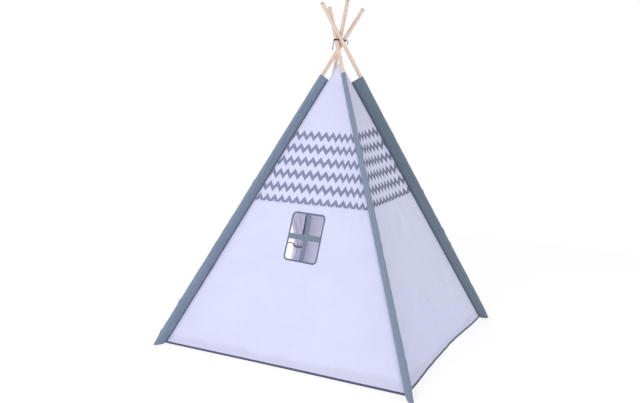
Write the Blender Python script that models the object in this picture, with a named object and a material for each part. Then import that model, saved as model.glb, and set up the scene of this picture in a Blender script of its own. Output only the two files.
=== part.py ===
"""Kids teepee: four crossed wooden poles in corner sleeves, a four-walled cloth cover with a
printed band, a strapped window and a curtained doorway, and a cord lashed round the crossing.

Metres, +Z up. The origin is on the floor under the middle of the cover. The window faces +X
and the doorway faces -Y. Each wall is cut on its centre line, where it creases as the poles
close, so every half wall hangs from one pole.
"""

import math

import bmesh
import bpy
import numpy as np
from mathutils import Matrix, Vector

# Overall layout
FOOT_HALF_SPACING = 0.600
CROSSING_HEIGHT = 1.365
BAND_SEAM_HEIGHT = 0.642
FIT_GAP = 0.0003
CUT_OVERRUN = 0.030
# The corner seams run beside the poles, this far inside them along x and y
SEAM_SETBACK = 0.0303
APEX_SAG = 0.00147
SLEEVE_TOP_DROP = 0.0690
WALL_FOOT_DISTANCE = FOOT_HALF_SPACING - SEAM_SETBACK
COVER_APEX_HEIGHT = CROSSING_HEIGHT * WALL_FOOT_DISTANCE / FOOT_HALF_SPACING - APEX_SAG
SLEEVE_TOP_HEIGHT = COVER_APEX_HEIGHT - SLEEVE_TOP_DROP

# Poles: two turned sections joined by a ferrule
POLE_LENGTH = 1.812
POLE_DIAMETER = 0.018
POLE_END_CHAMFER = 0.0015
TENON_RADIUS = 0.0080
FERRULE_BORE_RADIUS = 0.0083
FERRULE_LENGTH = 0.080
POLE_SIDES = 28
# Where each pole's axis passes the crossing height, in pole diameters along x and y
CROSSING_SHARES = {
    "left": (-0.214, -0.131),
    "front": (1.926, 0.137),
    "right": (-0.131, 1.230),
    "back": (-1.581, -1.230),
}
CORNER_SIGNS = {"left": (1, -1), "front": (1, 1), "right": (-1, 1), "back": (-1, -1)}

# Cloth
CLOTH_THICKNESS = 0.002
CREASE_GAP = 0.0006
SEAM_INSET = 0.0018

# Sleeves: a folded strip round each pole, closed at the foot
SLEEVE_CLOTH = 0.0012
SLEEVE_BORE_RADIUS = 0.0093
SLEEVE_TAIL_THICKNESS = 0.0024
SLEEVE_VOID_LENGTH = 0.025
SLEEVE_FOOT_THICKNESS = 0.002
SLEEVE_SEAM_RISE = 0.012
SLEEVE_FLAT_LENGTH = 0.016
SLEEVE_ARC_POINTS = 22
SLEEVE_STATIONS = 9

# Hems
HEM_HEIGHT = 0.008
HEM_THICKNESS = 0.0034
HEM_FLOOR_GAP = 0.003
HEM_POINTS = 10
HEM_RISE = {"window": 0.001, "side": 0.011, "rear": 0.011, "door": 0.0}

# Window in the +X wall
WINDOW_CENTRE = (0.0165, 0.505)
WINDOW_HALF_WIDTH = 0.0828
WINDOW_HALF_HEIGHT = 0.1015
WINDOW_CORNER_RADIUS = 0.020
WINDOW_LEAN = math.radians(-2.1)
BINDING_WIDTH = 0.0065
BINDING_THICKNESS = 0.0034
CORNER_STEPS = 6
STRAP_WIDTH = 0.020
STRAP_THICKNESS = 0.002
CROSS_STRAP_THICKNESS = 0.0018
UPRIGHT_STRAP_TOP = (0.0110, 0.602)
UPRIGHT_STRAP_FOOT = (0.0215, 0.408)
LEVEL_STRAP_LEFT = (-0.0600, 0.508)
LEVEL_STRAP_RIGHT = (0.0940, 0.501)

# Door curtains, gathered towards their poles by a tie
TIE_HEIGHT = 0.330
TIE_GATHERED_WIDTH = 0.100
HEM_GATHERED_WIDTH = 0.165
GATHER_POWER = 1.15
SPREAD_POWER = 1.4
FOLD_FADE_POWER = 0.8
FREE_CORNER_LIFT = 0.105
CORNER_LIFT_POWER = 1.5
NECK_WIDTH = 0.012
CURTAIN_FOLDS = 4
CURTAIN_FOLD_DEPTH = 0.021
CURTAIN_HEM_FOLD_DEPTH = 0.015
CURTAIN_COLUMNS = 34
CURTAIN_ROWS_ABOVE_TIE = 9
CURTAIN_ROWS_BELOW_TIE = 6
TIE_CLEARANCE = 0.0015
TIE_THICKNESS = 0.0016
TIE_WIDTH = 0.012
TIE_ARC_POINTS = 11
TIE_SEAM_SETBACK = 0.003
TIE_TAIL_DIAMETER = 0.004
# Along the wall towards the doorway, upwards, and inwards, from the tie's free edge
TIE_TAIL_ROUTE = (
    (0, 0, 0),
    (0.0080, -0.0035, 0),
    (0.0260, 0.0030, 0.0020),
    (0.0560, 0.0200, 0.0040),
    (0.0860, 0.0250, 0.0020),
)

# Cover peak: the closed point of the cover above the sleeves
PEAK_TIP_HALF_WIDTH = 0.002

# Lashing cord round the crossing
CORD_DIAMETER = 0.0050
LASHING_TURNS = 1.42
LASHING_PITCH = 0.0059
LASHING_RISE = 0.033
LASHING_LOOP_POINTS = 24
LASHING_CLEARANCE = 0.0007
LASHING_BEND_SHARE = 0.65
LEAST_TURN_GAP = 0.0004
TAIL_POINT_STEP = 0.007
# Along the winding's end, sideways, and upwards
LOW_TAIL_ROUTE = (
    (0.008, 0, 0),
    (0.017, 0.000, -0.008),
    (0.023, 0.001, -0.020),
    (0.026, 0.002, -0.034),
)
HIGH_TAIL_ROUTE = (
    (0.010, 0, 0),
    (0.020, 0.000, -0.004),
    (0.027, 0.001, -0.012),
    (0.030, 0.002, -0.024),
)

# Walls in order round the cover: outward direction, corner at low u, corner at high u
WALLS = {
    "window": (Vector((1, 0, 0)), "left", "front"),
    "side": (Vector((0, 1, 0)), "front", "right"),
    "rear": (Vector((-1, 0, 0)), "right", "back"),
    "door": (Vector((0, -1, 0)), "back", "left"),
}
UP = Vector((0, 0, 1))


def clear_scene():
    for thing in list(bpy.data.objects):
        bpy.data.objects.remove(thing, do_unlink=True)


def finish_material(name, colour, roughness, metallic=0.0):
    material = bpy.data.materials.new(name)
    material.use_nodes = True
    shader = material.node_tree.nodes["Principled BSDF"]
    shader.inputs["Base Color"].default_value = (*colour, 1.0)
    shader.inputs["Roughness"].default_value = roughness
    shader.inputs["Metallic"].default_value = metallic
    material.diffuse_color = (*colour, 1.0)
    return material


def half_width(z):
    """Distance of a wall from the middle, which is also its half width, at height z."""
    return WALL_FOOT_DISTANCE * (1 - z / COVER_APEX_HEIGHT)


def wall_axes(wall):
    """The wall's sideways direction, and its outward normal."""
    out = WALLS[wall][0]
    sideways = UP.cross(out)
    normal = (out * COVER_APEX_HEIGHT + UP * WALL_FOOT_DISTANCE).normalized()
    return sideways, normal


def wall_point(wall, u, z, offset=0.0):
    """A point u sideways of the centre line at height z in the wall, offset outwards."""
    out = WALLS[wall][0]
    sideways, normal = wall_axes(wall)
    return out * half_width(z) + sideways * u + UP * z + normal * offset


def corner_side(wall, corner):
    """+1 when the corner lies at high u on the wall, -1 at low u."""
    return 1 if WALLS[wall][2] == corner else -1


def seam_u(z):
    """How far a half panel reaches sideways at height z."""
    return half_width(z) - SEAM_INSET


# Pole axes


def pole_foot(corner):
    sign_x, sign_y = CORNER_SIGNS[corner]
    return Vector((sign_x * FOOT_HALF_SPACING, sign_y * FOOT_HALF_SPACING, 0))


def pole_crossing(corner):
    share_x, share_y = CROSSING_SHARES[corner]
    return Vector((share_x * POLE_DIAMETER, share_y * POLE_DIAMETER, CROSSING_HEIGHT))


def pole_direction(corner):
    return (pole_crossing(corner) - pole_foot(corner)).normalized()


def pole_point(corner, z):
    return pole_foot(corner) + pole_direction(corner) * (z / pole_direction(corner).z)


def pole_start(corner):
    """Distance along the axis from the floor to the pole's lower end, which seats in the sleeve."""
    slope = pole_direction(corner)
    dip = (POLE_DIAMETER / 2) * math.hypot(slope.x, slope.y)
    return (SLEEVE_FOOT_THICKNESS + FIT_GAP + dip) / slope.z


# Object helpers


def new_object(name, mesh, material, pivot=None):
    thing = bpy.data.objects.new(name, mesh)
    bpy.context.scene.collection.objects.link(thing)
    if material:
        mesh.materials.append(material)
    if pivot:
        thing.parent = pivot
        thing.matrix_parent_inverse = pivot.matrix_world.inverted()
    return thing


def new_pivot(name, place):
    pivot = bpy.data.objects.new(name, None)
    bpy.context.scene.collection.objects.link(pivot)
    pivot.empty_display_size = POLE_DIAMETER
    pivot.location = place
    bpy.context.view_layer.update()
    return pivot


def mesh_from(bm, name):
    bmesh.ops.recalc_face_normals(bm, faces=bm.faces)
    mesh = bpy.data.meshes.new(name)
    bm.to_mesh(mesh)
    bm.free()
    return mesh


def smooth(mesh, angle=math.radians(35)):
    mesh.shade_smooth()
    mesh.set_sharp_from_angle(angle=angle)


def loft(bm, rings):
    """Closed skin through rings of equal length, with flat ends."""
    rows = [[bm.verts.new(point) for point in ring] for ring in rings]
    for low, high in zip(rows, rows[1:]):
        for i in range(len(low)):
            j = (i + 1) % len(low)
            bm.faces.new((low[i], low[j], high[j], high[i]))
    for end in (rows[0], rows[-1]):
        cap = bm.faces.new(end)
        bmesh.ops.triangulate(bm, faces=[cap])
    return rows


def trim(bm, place, away):
    """Cuts off what lies on the away side of a plane, and closes the cut."""
    geometry = bm.verts[:] + bm.edges[:] + bm.faces[:]
    bmesh.ops.bisect_plane(
        bm, geom=geometry, dist=1e-7, plane_co=place, plane_no=away, clear_outer=True
    )
    rim = [edge for edge in bm.edges if edge.is_boundary]
    made = bmesh.ops.holes_fill(bm, edges=rim)
    bmesh.ops.triangulate(bm, faces=made["faces"])


def turned(name, profile, place, direction, material, pivot):
    """Revolves a profile of (radius, distance) about an axis. It is closed if it leaves the axis."""
    bm = bmesh.new()
    verts = [bm.verts.new((radius, 0, along)) for radius, along in profile]
    edges = [bm.edges.new(pair) for pair in zip(verts, verts[1:])]
    if profile[0][0] > 0:
        edges.append(bm.edges.new((verts[-1], verts[0])))
    bmesh.ops.spin(
        bm,
        geom=verts + edges,
        axis=UP,
        cent=(0, 0, 0),
        angle=math.tau,
        steps=POLE_SIDES,
        use_merge=True,
    )
    bmesh.ops.remove_doubles(bm, verts=bm.verts, dist=1e-6)
    mesh = mesh_from(bm, name)
    smooth(mesh)
    thing = new_object(name, mesh, material)
    thing.matrix_world = Matrix.Translation(place) @ direction.to_track_quat("Z", "Y").to_matrix().to_4x4()
    bpy.context.view_layer.update()
    thing.parent = pivot
    thing.matrix_parent_inverse = pivot.matrix_world.inverted()
    return thing


def wall_prism(name, wall, outline, thickness, material, pivot=None):
    """A flat cloth piece in a wall, from an outline of (u, z), with its middle in the wall."""
    bm = bmesh.new()
    inner = [wall_point(wall, u, z, -thickness / 2) for u, z in outline]
    outer = [wall_point(wall, u, z, thickness / 2) for u, z in outline]
    loft(bm, [inner, outer])
    return new_object(name, mesh_from(bm, name), material, pivot)


def boolean(thing, other, operation):
    modifier = thing.modifiers.new(operation.lower(), "BOOLEAN")
    modifier.operation = operation
    modifier.object = other
    other.hide_render = True
    other.display_type = "WIRE"


def smooth_route(points, step):
    """Points at even steps along a Catmull-Rom curve through the route's own points."""
    route = [Vector(point) for point in points]
    route = [2 * route[0] - route[1], *route, 2 * route[-1] - route[-2]]
    fine = []
    for a, b, c, d in zip(route, route[1:], route[2:], route[3:]):
        for k in range(24):
            t = k / 24
            fine.append(
                0.5
                * (
                    2 * b
                    + (c - a) * t
                    + (2 * a - 5 * b + 4 * c - d) * t**2
                    + (3 * b - a - 3 * c + d) * t**3
                )
            )
    fine.append(route[-2])
    lengths = np.concatenate([[0], np.cumsum([(q - p).length for p, q in zip(fine, fine[1:])])])
    count = max(3, round(lengths[-1] / step) + 1)
    wanted = np.linspace(0, lengths[-1], count)
    columns = [np.interp(wanted, lengths, [point[axis] for point in fine]) for axis in range(3)]
    return [Vector(point) for point in zip(*columns)], lengths[-1]


def tube(name, points, diameter, sides_step, material, pivot=None):
    curve = bpy.data.curves.new(name, "CURVE")
    curve.dimensions = "3D"
    curve.bevel_depth = diameter / 2
    curve.bevel_resolution = sides_step
    curve.use_fill_caps = True
    spline = curve.splines.new("POLY")
    spline.points.add(len(points) - 1)
    for slot, point in zip(spline.points, points):
        slot.co = (*point, 1)
    thing = new_object(name, curve, material, pivot)
    return thing


# Poles, ferrules and sleeves


def make_pole(corner, pivot, materials):
    foot = pole_foot(corner)
    direction = pole_direction(corner)
    start = pole_start(corner)
    radius = POLE_DIAMETER / 2
    joint = start + POLE_LENGTH / 2
    shoulder = FERRULE_LENGTH / 2 + FIT_GAP
    lower = [
        (0, start),
        (radius - POLE_END_CHAMFER, start),
        (radius, start + POLE_END_CHAMFER),
        (radius, joint - shoulder),
        (TENON_RADIUS, joint - shoulder),
        (TENON_RADIUS, joint - FIT_GAP / 2),
        (0, joint - FIT_GAP / 2),
    ]
    end = start + POLE_LENGTH
    upper = [
        (0, joint + FIT_GAP / 2),
        (TENON_RADIUS, joint + FIT_GAP / 2),
        (TENON_RADIUS, joint + shoulder),
        (radius, joint + shoulder),
        (radius, end - POLE_END_CHAMFER),
        (radius - POLE_END_CHAMFER, end),
        (0, end),
    ]
    collar = [
        (FERRULE_BORE_RADIUS, joint - FERRULE_LENGTH / 2),
        (radius, joint - FERRULE_LENGTH / 2),
        (radius, joint + FERRULE_LENGTH / 2),
        (FERRULE_BORE_RADIUS, joint + FERRULE_LENGTH / 2),
    ]
    turned(f"pole_{corner}_lower", lower, foot, direction, materials["wood"], pivot)
    turned(f"pole_{corner}_upper", upper, foot, direction, materials["wood"], pivot)
    turned(f"ferrule_{corner}", collar, foot, direction, materials["steel"], pivot)


def corner_tail(corner, along):
    """From a point on the pole's axis, square to it, to the line where the two walls meet."""
    sign_x, sign_y = CORNER_SIGNS[corner]
    direction = pole_direction(corner)
    here = pole_foot(corner) + direction * along
    seam_foot = Vector((sign_x * WALL_FOOT_DISTANCE, sign_y * WALL_FOOT_DISTANCE, 0))
    seam = UP * COVER_APEX_HEIGHT - seam_foot
    share = (here - seam_foot).dot(direction) / seam.dot(direction)
    return here, seam_foot + seam * share - here


def teardrop(corner, along, radius, reach, half_tail):
    """A ring round the pole that narrows to a tail lying towards the corner seam."""
    here, tail = corner_tail(corner, along)
    length = tail.length if reach is None else reach
    across = pole_direction(corner).cross(tail.normalized())
    slant = math.atan2(half_tail, length)
    touch = slant + math.acos(radius / math.hypot(length, half_tail))
    ring = []
    for i in range(SLEEVE_ARC_POINTS):
        angle = touch + (math.tau - 2 * touch) * i / (SLEEVE_ARC_POINTS - 1)
        ring.append((radius * math.cos(angle), radius * math.sin(angle)))
    ring.append((length, -half_tail))
    ring.append((length, half_tail))
    unit = tail.normalized()
    return [here + unit * x + across * y for x, y in ring]


def make_sleeve(corner, pivot, materials):
    """A closed-foot sleeve: a teardrop skin, cut flat on the floor and slanting up to the seam."""
    direction = pole_direction(corner)
    sign_x, sign_y = CORNER_SIGNS[corner]
    inward = Vector((-sign_x, -sign_y, 0)).normalized()
    outer_radius = SLEEVE_BORE_RADIUS + SLEEVE_CLOTH
    half_tail = SLEEVE_TAIL_THICKNESS / 2
    end = SLEEVE_TOP_HEIGHT / direction.z
    seam_reach = (FOOT_HALF_SPACING - WALL_FOOT_DISTANCE) * math.sqrt(2)
    rise = SLEEVE_SEAM_RISE / (seam_reach - SLEEVE_FLAT_LENGTH)
    slant = (inward * rise - UP).normalized()

    skin = bmesh.new()
    stations = np.linspace(-CUT_OVERRUN, end, SLEEVE_STATIONS)
    loft(skin, [teardrop(corner, along, outer_radius, None, half_tail) for along in stations])
    knee = pole_foot(corner) + inward * SLEEVE_FLAT_LENGTH
    trim(skin, Vector((0, 0, 0)), -UP)
    trim(skin, knee, slant)
    name = f"sleeve_{corner}"
    sleeve = new_object(name, mesh_from(skin, name), materials["sleeve"], pivot)
    smooth(sleeve.data)

    bore = bmesh.new()
    stations = np.linspace(-CUT_OVERRUN, end + CUT_OVERRUN, SLEEVE_STATIONS)
    reach = SLEEVE_VOID_LENGTH
    loft(bore, [teardrop(corner, along, SLEEVE_BORE_RADIUS, reach, FIT_GAP) for along in stations])
    trim(bore, UP * SLEEVE_FOOT_THICKNESS, -UP)
    trim(bore, knee + UP * SLEEVE_FOOT_THICKNESS, slant)
    boolean(sleeve, new_object(f"cutter_{name}", mesh_from(bore, f"cutter_{name}"), None), "DIFFERENCE")


# Walls


def hem_rise(wall, u):
    reach = half_width(0)
    return HEM_RISE[wall] * math.cos(math.pi / 2 * min(1, abs(u) / reach)) ** 2


def hem_line(wall, side, height):
    """Points along a half wall's foot, height above the hem's own foot, from crease to seam."""
    base = HEM_FLOOR_GAP + height
    start = CREASE_GAP / 2
    points = []
    for i in range(HEM_POINTS):
        u = start + (seam_u(base) - start) * i / (HEM_POINTS - 1)
        points.append((side * u, base + hem_rise(wall, u)))
    return points


def make_hem(wall, corner, pivot, materials):
    side = corner_side(wall, corner)
    outline = hem_line(wall, side, 0) + hem_line(wall, side, HEM_HEIGHT)[::-1]
    wall_prism(f"{wall}_hem_{corner}", wall, outline, HEM_THICKNESS, materials["binding"], pivot)


def make_panel(wall, corner, pivot, materials):
    """The plain lower half panel, from above the hem to the band seam."""
    side = corner_side(wall, corner)
    top = BAND_SEAM_HEIGHT - FIT_GAP / 2
    outline = hem_line(wall, side, HEM_HEIGHT + FIT_GAP)
    outline.append((side * seam_u(top), top))
    outline.append((side * CREASE_GAP / 2, top))
    return wall_prism(f"{wall}_panel_{corner}", wall, outline, CLOTH_THICKNESS, materials["canvas"], pivot)


def make_band(wall, corner, pivot, materials):
    """The printed upper half panel, from the band seam to the top of the sleeves."""
    side = corner_side(wall, corner)
    low = BAND_SEAM_HEIGHT + FIT_GAP / 2
    high = SLEEVE_TOP_HEIGHT - FIT_GAP
    outline = [
        (side * CREASE_GAP / 2, low),
        (side * seam_u(low), low),
        (side * seam_u(high), high),
        (side * CREASE_GAP / 2, high),
    ]
    wall_prism(f"{wall}_band_{corner}", wall, outline, CLOTH_THICKNESS, materials["print"], pivot)


# Window


def window_outline(margin):
    """The window's rounded outline, grown by a margin, as (u, z)."""
    radius = WINDOW_CORNER_RADIUS + margin
    reach_u = WINDOW_HALF_WIDTH + margin - radius
    reach_z = WINDOW_HALF_HEIGHT + margin - radius
    points = []
    for quarter, (sign_u, sign_z) in enumerate(((1, 1), (-1, 1), (-1, -1), (1, -1))):
        for step in range(CORNER_STEPS + 1):
            angle = math.pi / 2 * (quarter + step / CORNER_STEPS)
            u = sign_u * reach_u + radius * math.cos(angle)
            z = sign_z * reach_z + radius * math.sin(angle)
            turned_u = u * math.cos(WINDOW_LEAN) - z * math.sin(WINDOW_LEAN)
            turned_z = u * math.sin(WINDOW_LEAN) + z * math.cos(WINDOW_LEAN)
            points.append((WINDOW_CENTRE[0] + turned_u, WINDOW_CENTRE[1] + turned_z))
    return points


def window_cutter(corner):
    return wall_prism(
        f"cutter_window_{corner}", "window", window_outline(FIT_GAP), CUT_OVERRUN, None
    )


def make_binding(corner, pivot, materials):
    """One half of the tape round the window, cut at the crease."""
    side = corner_side("window", corner)
    bm = bmesh.new()
    rings = []
    for offset in (-BINDING_THICKNESS / 2, BINDING_THICKNESS / 2):
        for margin in (0, -BINDING_WIDTH):
            rings.append([bm.verts.new(wall_point("window", u, z, offset)) for u, z in window_outline(margin)])
    inner_out, inner_in, outer_out, outer_in = rings
    count = len(inner_out)
    for i in range(count):
        j = (i + 1) % count
        bm.faces.new((inner_out[i], inner_out[j], inner_in[j], inner_in[i]))
        bm.faces.new((outer_out[i], outer_in[i], outer_in[j], outer_out[j]))
        bm.faces.new((inner_out[i], outer_out[i], outer_out[j], inner_out[j]))
        bm.faces.new((inner_in[i], inner_in[j], outer_in[j], outer_in[i]))
    sideways, _ = wall_axes("window")
    trim(bm, sideways * side * CREASE_GAP / 2, -sideways * side)
    name = f"window_binding_{corner}"
    new_object(name, mesh_from(bm, name), materials["binding"], pivot)


def bar_outline(start, end, width):
    """A straight strap's outline between two points of (u, z)."""
    run_u, run_z = end[0] - start[0], end[1] - start[1]
    length = math.hypot(run_u, run_z)
    side_u = -run_z / length * width / 2
    side_z = run_u / length * width / 2
    return [
        (start[0] + side_u, start[1] + side_z),
        (start[0] - side_u, start[1] - side_z),
        (end[0] - side_u, end[1] - side_z),
        (end[0] + side_u, end[1] + side_z),
    ]


def window_aperture(name):
    """The clear space inside the binding, which straps are trimmed to."""
    return wall_prism(name, "window", window_outline(-BINDING_WIDTH - FIT_GAP), CUT_OVERRUN, None)


def half_space(name, side):
    """All of the window wall's width on one side of the crease."""
    reach = WINDOW_HALF_WIDTH * 2
    low, high = WINDOW_CENTRE[1] - reach, WINDOW_CENTRE[1] + reach
    near = side * CREASE_GAP / 2
    outline = [(near, low), (side * reach, low), (side * reach, high), (near, high)]
    return wall_prism(name, "window", outline, CUT_OVERRUN * 2, None)


def make_straps(pivots, materials):
    """An upright and a level strap, sewn where they cross. The level one is cut at the crease."""
    upright = bar_outline(UPRIGHT_STRAP_TOP, UPRIGHT_STRAP_FOOT, STRAP_WIDTH)
    level = bar_outline(LEVEL_STRAP_LEFT, LEVEL_STRAP_RIGHT, STRAP_WIDTH)
    cross = wall_prism(
        "window_strap_cross", "window", upright, STRAP_THICKNESS, materials["strap"], pivots["front"]
    )
    arm = wall_prism("union_strap", "window", level, CROSS_STRAP_THICKNESS, None)
    boolean(arm, half_space("cutter_strap_front", 1), "INTERSECT")
    boolean(cross, arm, "UNION")
    boolean(cross, window_aperture("cutter_aperture_front"), "INTERSECT")
    stub = wall_prism(
        "window_strap_left", "window", level, CROSS_STRAP_THICKNESS, materials["strap"], pivots["left"]
    )
    boolean(stub, half_space("cutter_strap_left", -1), "INTERSECT")
    boolean(stub, window_aperture("cutter_aperture_left"), "INTERSECT")


# Doorway


def curtain_width(z):
    """How far the gathered curtain reaches from its seam at height z."""
    top = BAND_SEAM_HEIGHT - FIT_GAP / 2
    tie_top, tie_foot = TIE_HEIGHT + TIE_WIDTH / 2, TIE_HEIGHT - TIE_WIDTH / 2
    above = max(0, z - tie_top) / (top - tie_top)
    below = max(0, tie_foot - z) / tie_foot
    full = seam_u(top) - CREASE_GAP / 2
    gathered = (full - TIE_GATHERED_WIDTH) * above**GATHER_POWER
    spread = (HEM_GATHERED_WIDTH - TIE_GATHERED_WIDTH) * below**SPREAD_POWER
    return TIE_GATHERED_WIDTH + gathered + spread


def fold_offset(distance, width, depth):
    """Depth of the folds at a distance from the seam: none in the sewn neck, most in the middle."""
    span = width - NECK_WIDTH
    share = (distance - NECK_WIDTH) / span
    if not 0 < share < 1:
        return 0.0
    lens = math.sqrt(1 - (2 * share - 1) ** 2)
    return depth * lens * math.sin(math.tau * CURTAIN_FOLDS * share)


def curtain_depth(z):
    """How far the folds stand out at height z: nothing at the band, most at the tie."""
    top = BAND_SEAM_HEIGHT - FIT_GAP / 2
    tie_top, tie_foot = TIE_HEIGHT + TIE_WIDTH / 2, TIE_HEIGHT - TIE_WIDTH / 2
    if z >= tie_foot:
        above = min(1, max(0, z - tie_top) / (top - tie_top))
        return CURTAIN_FOLD_DEPTH * (1 - above) ** FOLD_FADE_POWER
    below = (tie_foot - z) / tie_foot
    return CURTAIN_FOLD_DEPTH + (CURTAIN_HEM_FOLD_DEPTH - CURTAIN_FOLD_DEPTH) * below


def curtain_heights(foot):
    """Heights down one column of the curtain, with a row at each edge of the tie."""
    top = BAND_SEAM_HEIGHT - FIT_GAP / 2
    above = np.linspace(top, TIE_HEIGHT + TIE_WIDTH / 2, CURTAIN_ROWS_ABOVE_TIE)
    below = np.linspace(TIE_HEIGHT - TIE_WIDTH / 2, foot, CURTAIN_ROWS_BELOW_TIE)
    return [*above, *below]


def make_curtain(corner, pivot, materials):
    """A door curtain sewn to the band and the corner, with folds gathered by its tie."""
    side = corner_side("door", corner)
    columns = []
    for i in range(CURTAIN_COLUMNS):
        across = i / (CURTAIN_COLUMNS - 1)
        foot = HEM_FLOOR_GAP + FREE_CORNER_LIFT * across**CORNER_LIFT_POWER
        column = []
        for z in curtain_heights(foot):
            width = curtain_width(z)
            fold = fold_offset(width * across, width, curtain_depth(z))
            column.append((side * (seam_u(z) - width * across), z, fold))
        columns.append(column)
    bm = bmesh.new()
    skins = []
    for offset in (-CLOTH_THICKNESS / 2, CLOTH_THICKNESS / 2):
        skins.append(
            [
                [bm.verts.new(wall_point("door", u, z, offset + fold)) for u, z, fold in row]
                for row in zip(*columns)
            ]
        )
    back, front = skins
    last_row, last_column = len(back) - 1, CURTAIN_COLUMNS - 1
    for j in range(last_row):
        for i in range(last_column):
            for rows in (back, front):
                bm.faces.new((rows[j][i], rows[j][i + 1], rows[j + 1][i + 1], rows[j + 1][i]))
    for i in range(last_column):
        for j in (0, last_row):
            bm.faces.new((back[j][i], back[j][i + 1], front[j][i + 1], front[j][i]))
    for j in range(last_row):
        for i in (0, last_column):
            bm.faces.new((back[j][i], back[j + 1][i], front[j + 1][i], front[j][i]))
    name = f"door_curtain_{corner}"
    mesh = mesh_from(bm, name)
    smooth(mesh, math.radians(60))
    new_object(name, mesh, materials["canvas"], pivot)


def tie_side(clearance, sign):
    """Half of the tie's path seen along the curtain, from the seam to the free edge."""
    width = curtain_width(TIE_HEIGHT)
    rest = CLOTH_THICKNESS / 2 + FIT_GAP + clearance
    start = NECK_WIDTH - clearance
    end = width + TIE_CLEARANCE + clearance
    middle, reach = (start + end) / 2, (end - start) / 2
    points = [(TIE_SEAM_SETBACK, sign * rest)]
    for i in range(TIE_ARC_POINTS):
        angle = math.pi * i / (TIE_ARC_POINTS - 1)
        swell = (CURTAIN_FOLD_DEPTH + TIE_CLEARANCE) * math.sin(angle)
        points.append((middle - reach * math.cos(angle), sign * (rest + swell)))
    return points


def door_place(corner, distance, z, offset):
    side = corner_side("door", corner)
    return wall_point("door", side * (seam_u(z) - distance), z, offset)


def make_tie(corner, pivot, materials):
    """A flat tape sewn to both faces at the seam and drawn round the gathered curtain."""
    inner = tie_side(0, 1) + tie_side(0, -1)[::-1]
    outer = tie_side(TIE_THICKNESS, 1) + tie_side(TIE_THICKNESS, -1)[::-1]
    low, high = TIE_HEIGHT - TIE_WIDTH / 2, TIE_HEIGHT + TIE_WIDTH / 2
    bm = bmesh.new()
    sections = []
    for near, far in zip(inner, outer):
        places = ((near, low), (far, low), (far, high), (near, high))
        sections.append(
            [door_place(corner, distance, z, offset) for (distance, offset), z in places]
        )
    loft(bm, sections)
    name = f"door_tie_{corner}"
    new_object(name, mesh_from(bm, name), materials["cord"], pivot)


def make_tie_tail(corner, pivot, materials):
    """The loose end of the tie, sticking out past the curtain's free edge."""
    start = curtain_width(TIE_HEIGHT) + TIE_CLEARANCE + TIE_THICKNESS + 2 * FIT_GAP
    points = [
        door_place(corner, start + run, TIE_HEIGHT + rise, -lean)
        for run, rise, lean in TIE_TAIL_ROUTE
    ]
    route, length = smooth_route(points, TAIL_POINT_STEP)
    print(f"door_tie_tail_{corner}: {length * 1000:.1f} mm")
    tube(f"door_tie_tail_{corner}", route, TIE_TAIL_DIAMETER, 2, materials["cord"], pivot)


# Peak


def make_peak(materials):
    """A hollow four-sided point, open underneath, that closes the cover."""
    low = SLEEVE_TOP_HEIGHT + FIT_GAP
    high = COVER_APEX_HEIGHT
    half = CLOTH_THICKNESS / 2
    slope = math.hypot(COVER_APEX_HEIGHT, WALL_FOOT_DISTANCE) / COVER_APEX_HEIGHT
    level = half * slope
    inner_high = high - 2 * CLOTH_THICKNESS
    outer_rings = [(half_width(low) + level, low), (PEAK_TIP_HALF_WIDTH, high)]
    inner_rings = [(half_width(inner_high) + FIT_GAP, inner_high), (half_width(low) - level, low)]
    bm = bmesh.new()
    corners = ((1, 1), (-1, 1), (-1, -1), (1, -1))
    rows = []
    for reach, z in outer_rings + inner_rings:
        rows.append([bm.verts.new((x * reach, y * reach, z)) for x, y in corners])
    outer_low, outer_high, inner_high_row, inner_low = rows
    for low_row, high_row in ((outer_low, outer_high), (inner_high_row, inner_low), (inner_low, outer_low)):
        for i in range(4):
            j = (i + 1) % 4
            bm.faces.new((low_row[i], low_row[j], high_row[j], high_row[i]))
    bm.faces.new(outer_high)
    bm.faces.new(inner_high_row)
    new_object("cover_peak", mesh_from(bm, "cover_peak"), materials["canvas"])


# Lashing


def hull_of(points):
    """Convex hull of (x, y) points, in order."""
    ordered = sorted(set(points))

    def half(sequence):
        chain = []
        for x, y in sequence:
            while len(chain) > 1:
                (x0, y0), (x1, y1) = chain[-2:]
                if (x1 - x0) * (y - y0) - (y1 - y0) * (x - x0) > 0:
                    break
                chain.pop()
            chain.append((x, y))
        return chain[:-1]

    return half(ordered) + half(ordered[::-1])


def bundle_ring(z):
    """The taut path of the cord's middle round the four poles at height z."""
    reach = POLE_DIAMETER / 2 + CORD_DIAMETER / 2 + LASHING_CLEARANCE
    points = []
    for corner in CORNER_SIGNS:
        middle = pole_point(corner, z)
        direction = pole_direction(corner)
        flat = Vector((direction.x, direction.y))
        lean = flat.normalized()
        for k in range(36):
            angle = math.tau * k / 36
            around = Vector((math.cos(angle), math.sin(angle)))
            stretch = around.dot(lean)
            spread = around + lean * stretch * (1 / direction.z - 1)
            points.append((middle.x + spread.x * reach, middle.y + spread.y * reach))
    ring = np.array(hull_of(points))
    return np.vstack([ring, ring[:1]])


def bundle_point(turn, z):
    """The point a share of a turn round the bundle, with points closer together on the bends."""
    ring = bundle_ring(z)
    start = int(np.argmax(ring[:-1, 0]))
    ring = np.vstack([np.roll(ring[:-1], -start, axis=0), ring[start]])
    runs = np.diff(ring, axis=0)
    lengths = np.hypot(*runs.T)
    headings = np.arctan2(runs[:, 1], runs[:, 0])
    bends = np.diff(headings, prepend=headings[-1]) % math.tau
    bends = (bends + np.roll(bends, -1)) / 2
    steps = (1 - LASHING_BEND_SHARE) * lengths / lengths.sum() + LASHING_BEND_SHARE * bends / math.tau
    measure = np.concatenate([[0], np.cumsum(steps)])
    wanted = (turn % 1) * measure[-1]
    return Vector((np.interp(wanted, measure, ring[:, 0]), np.interp(wanted, measure, ring[:, 1]), z))


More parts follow.
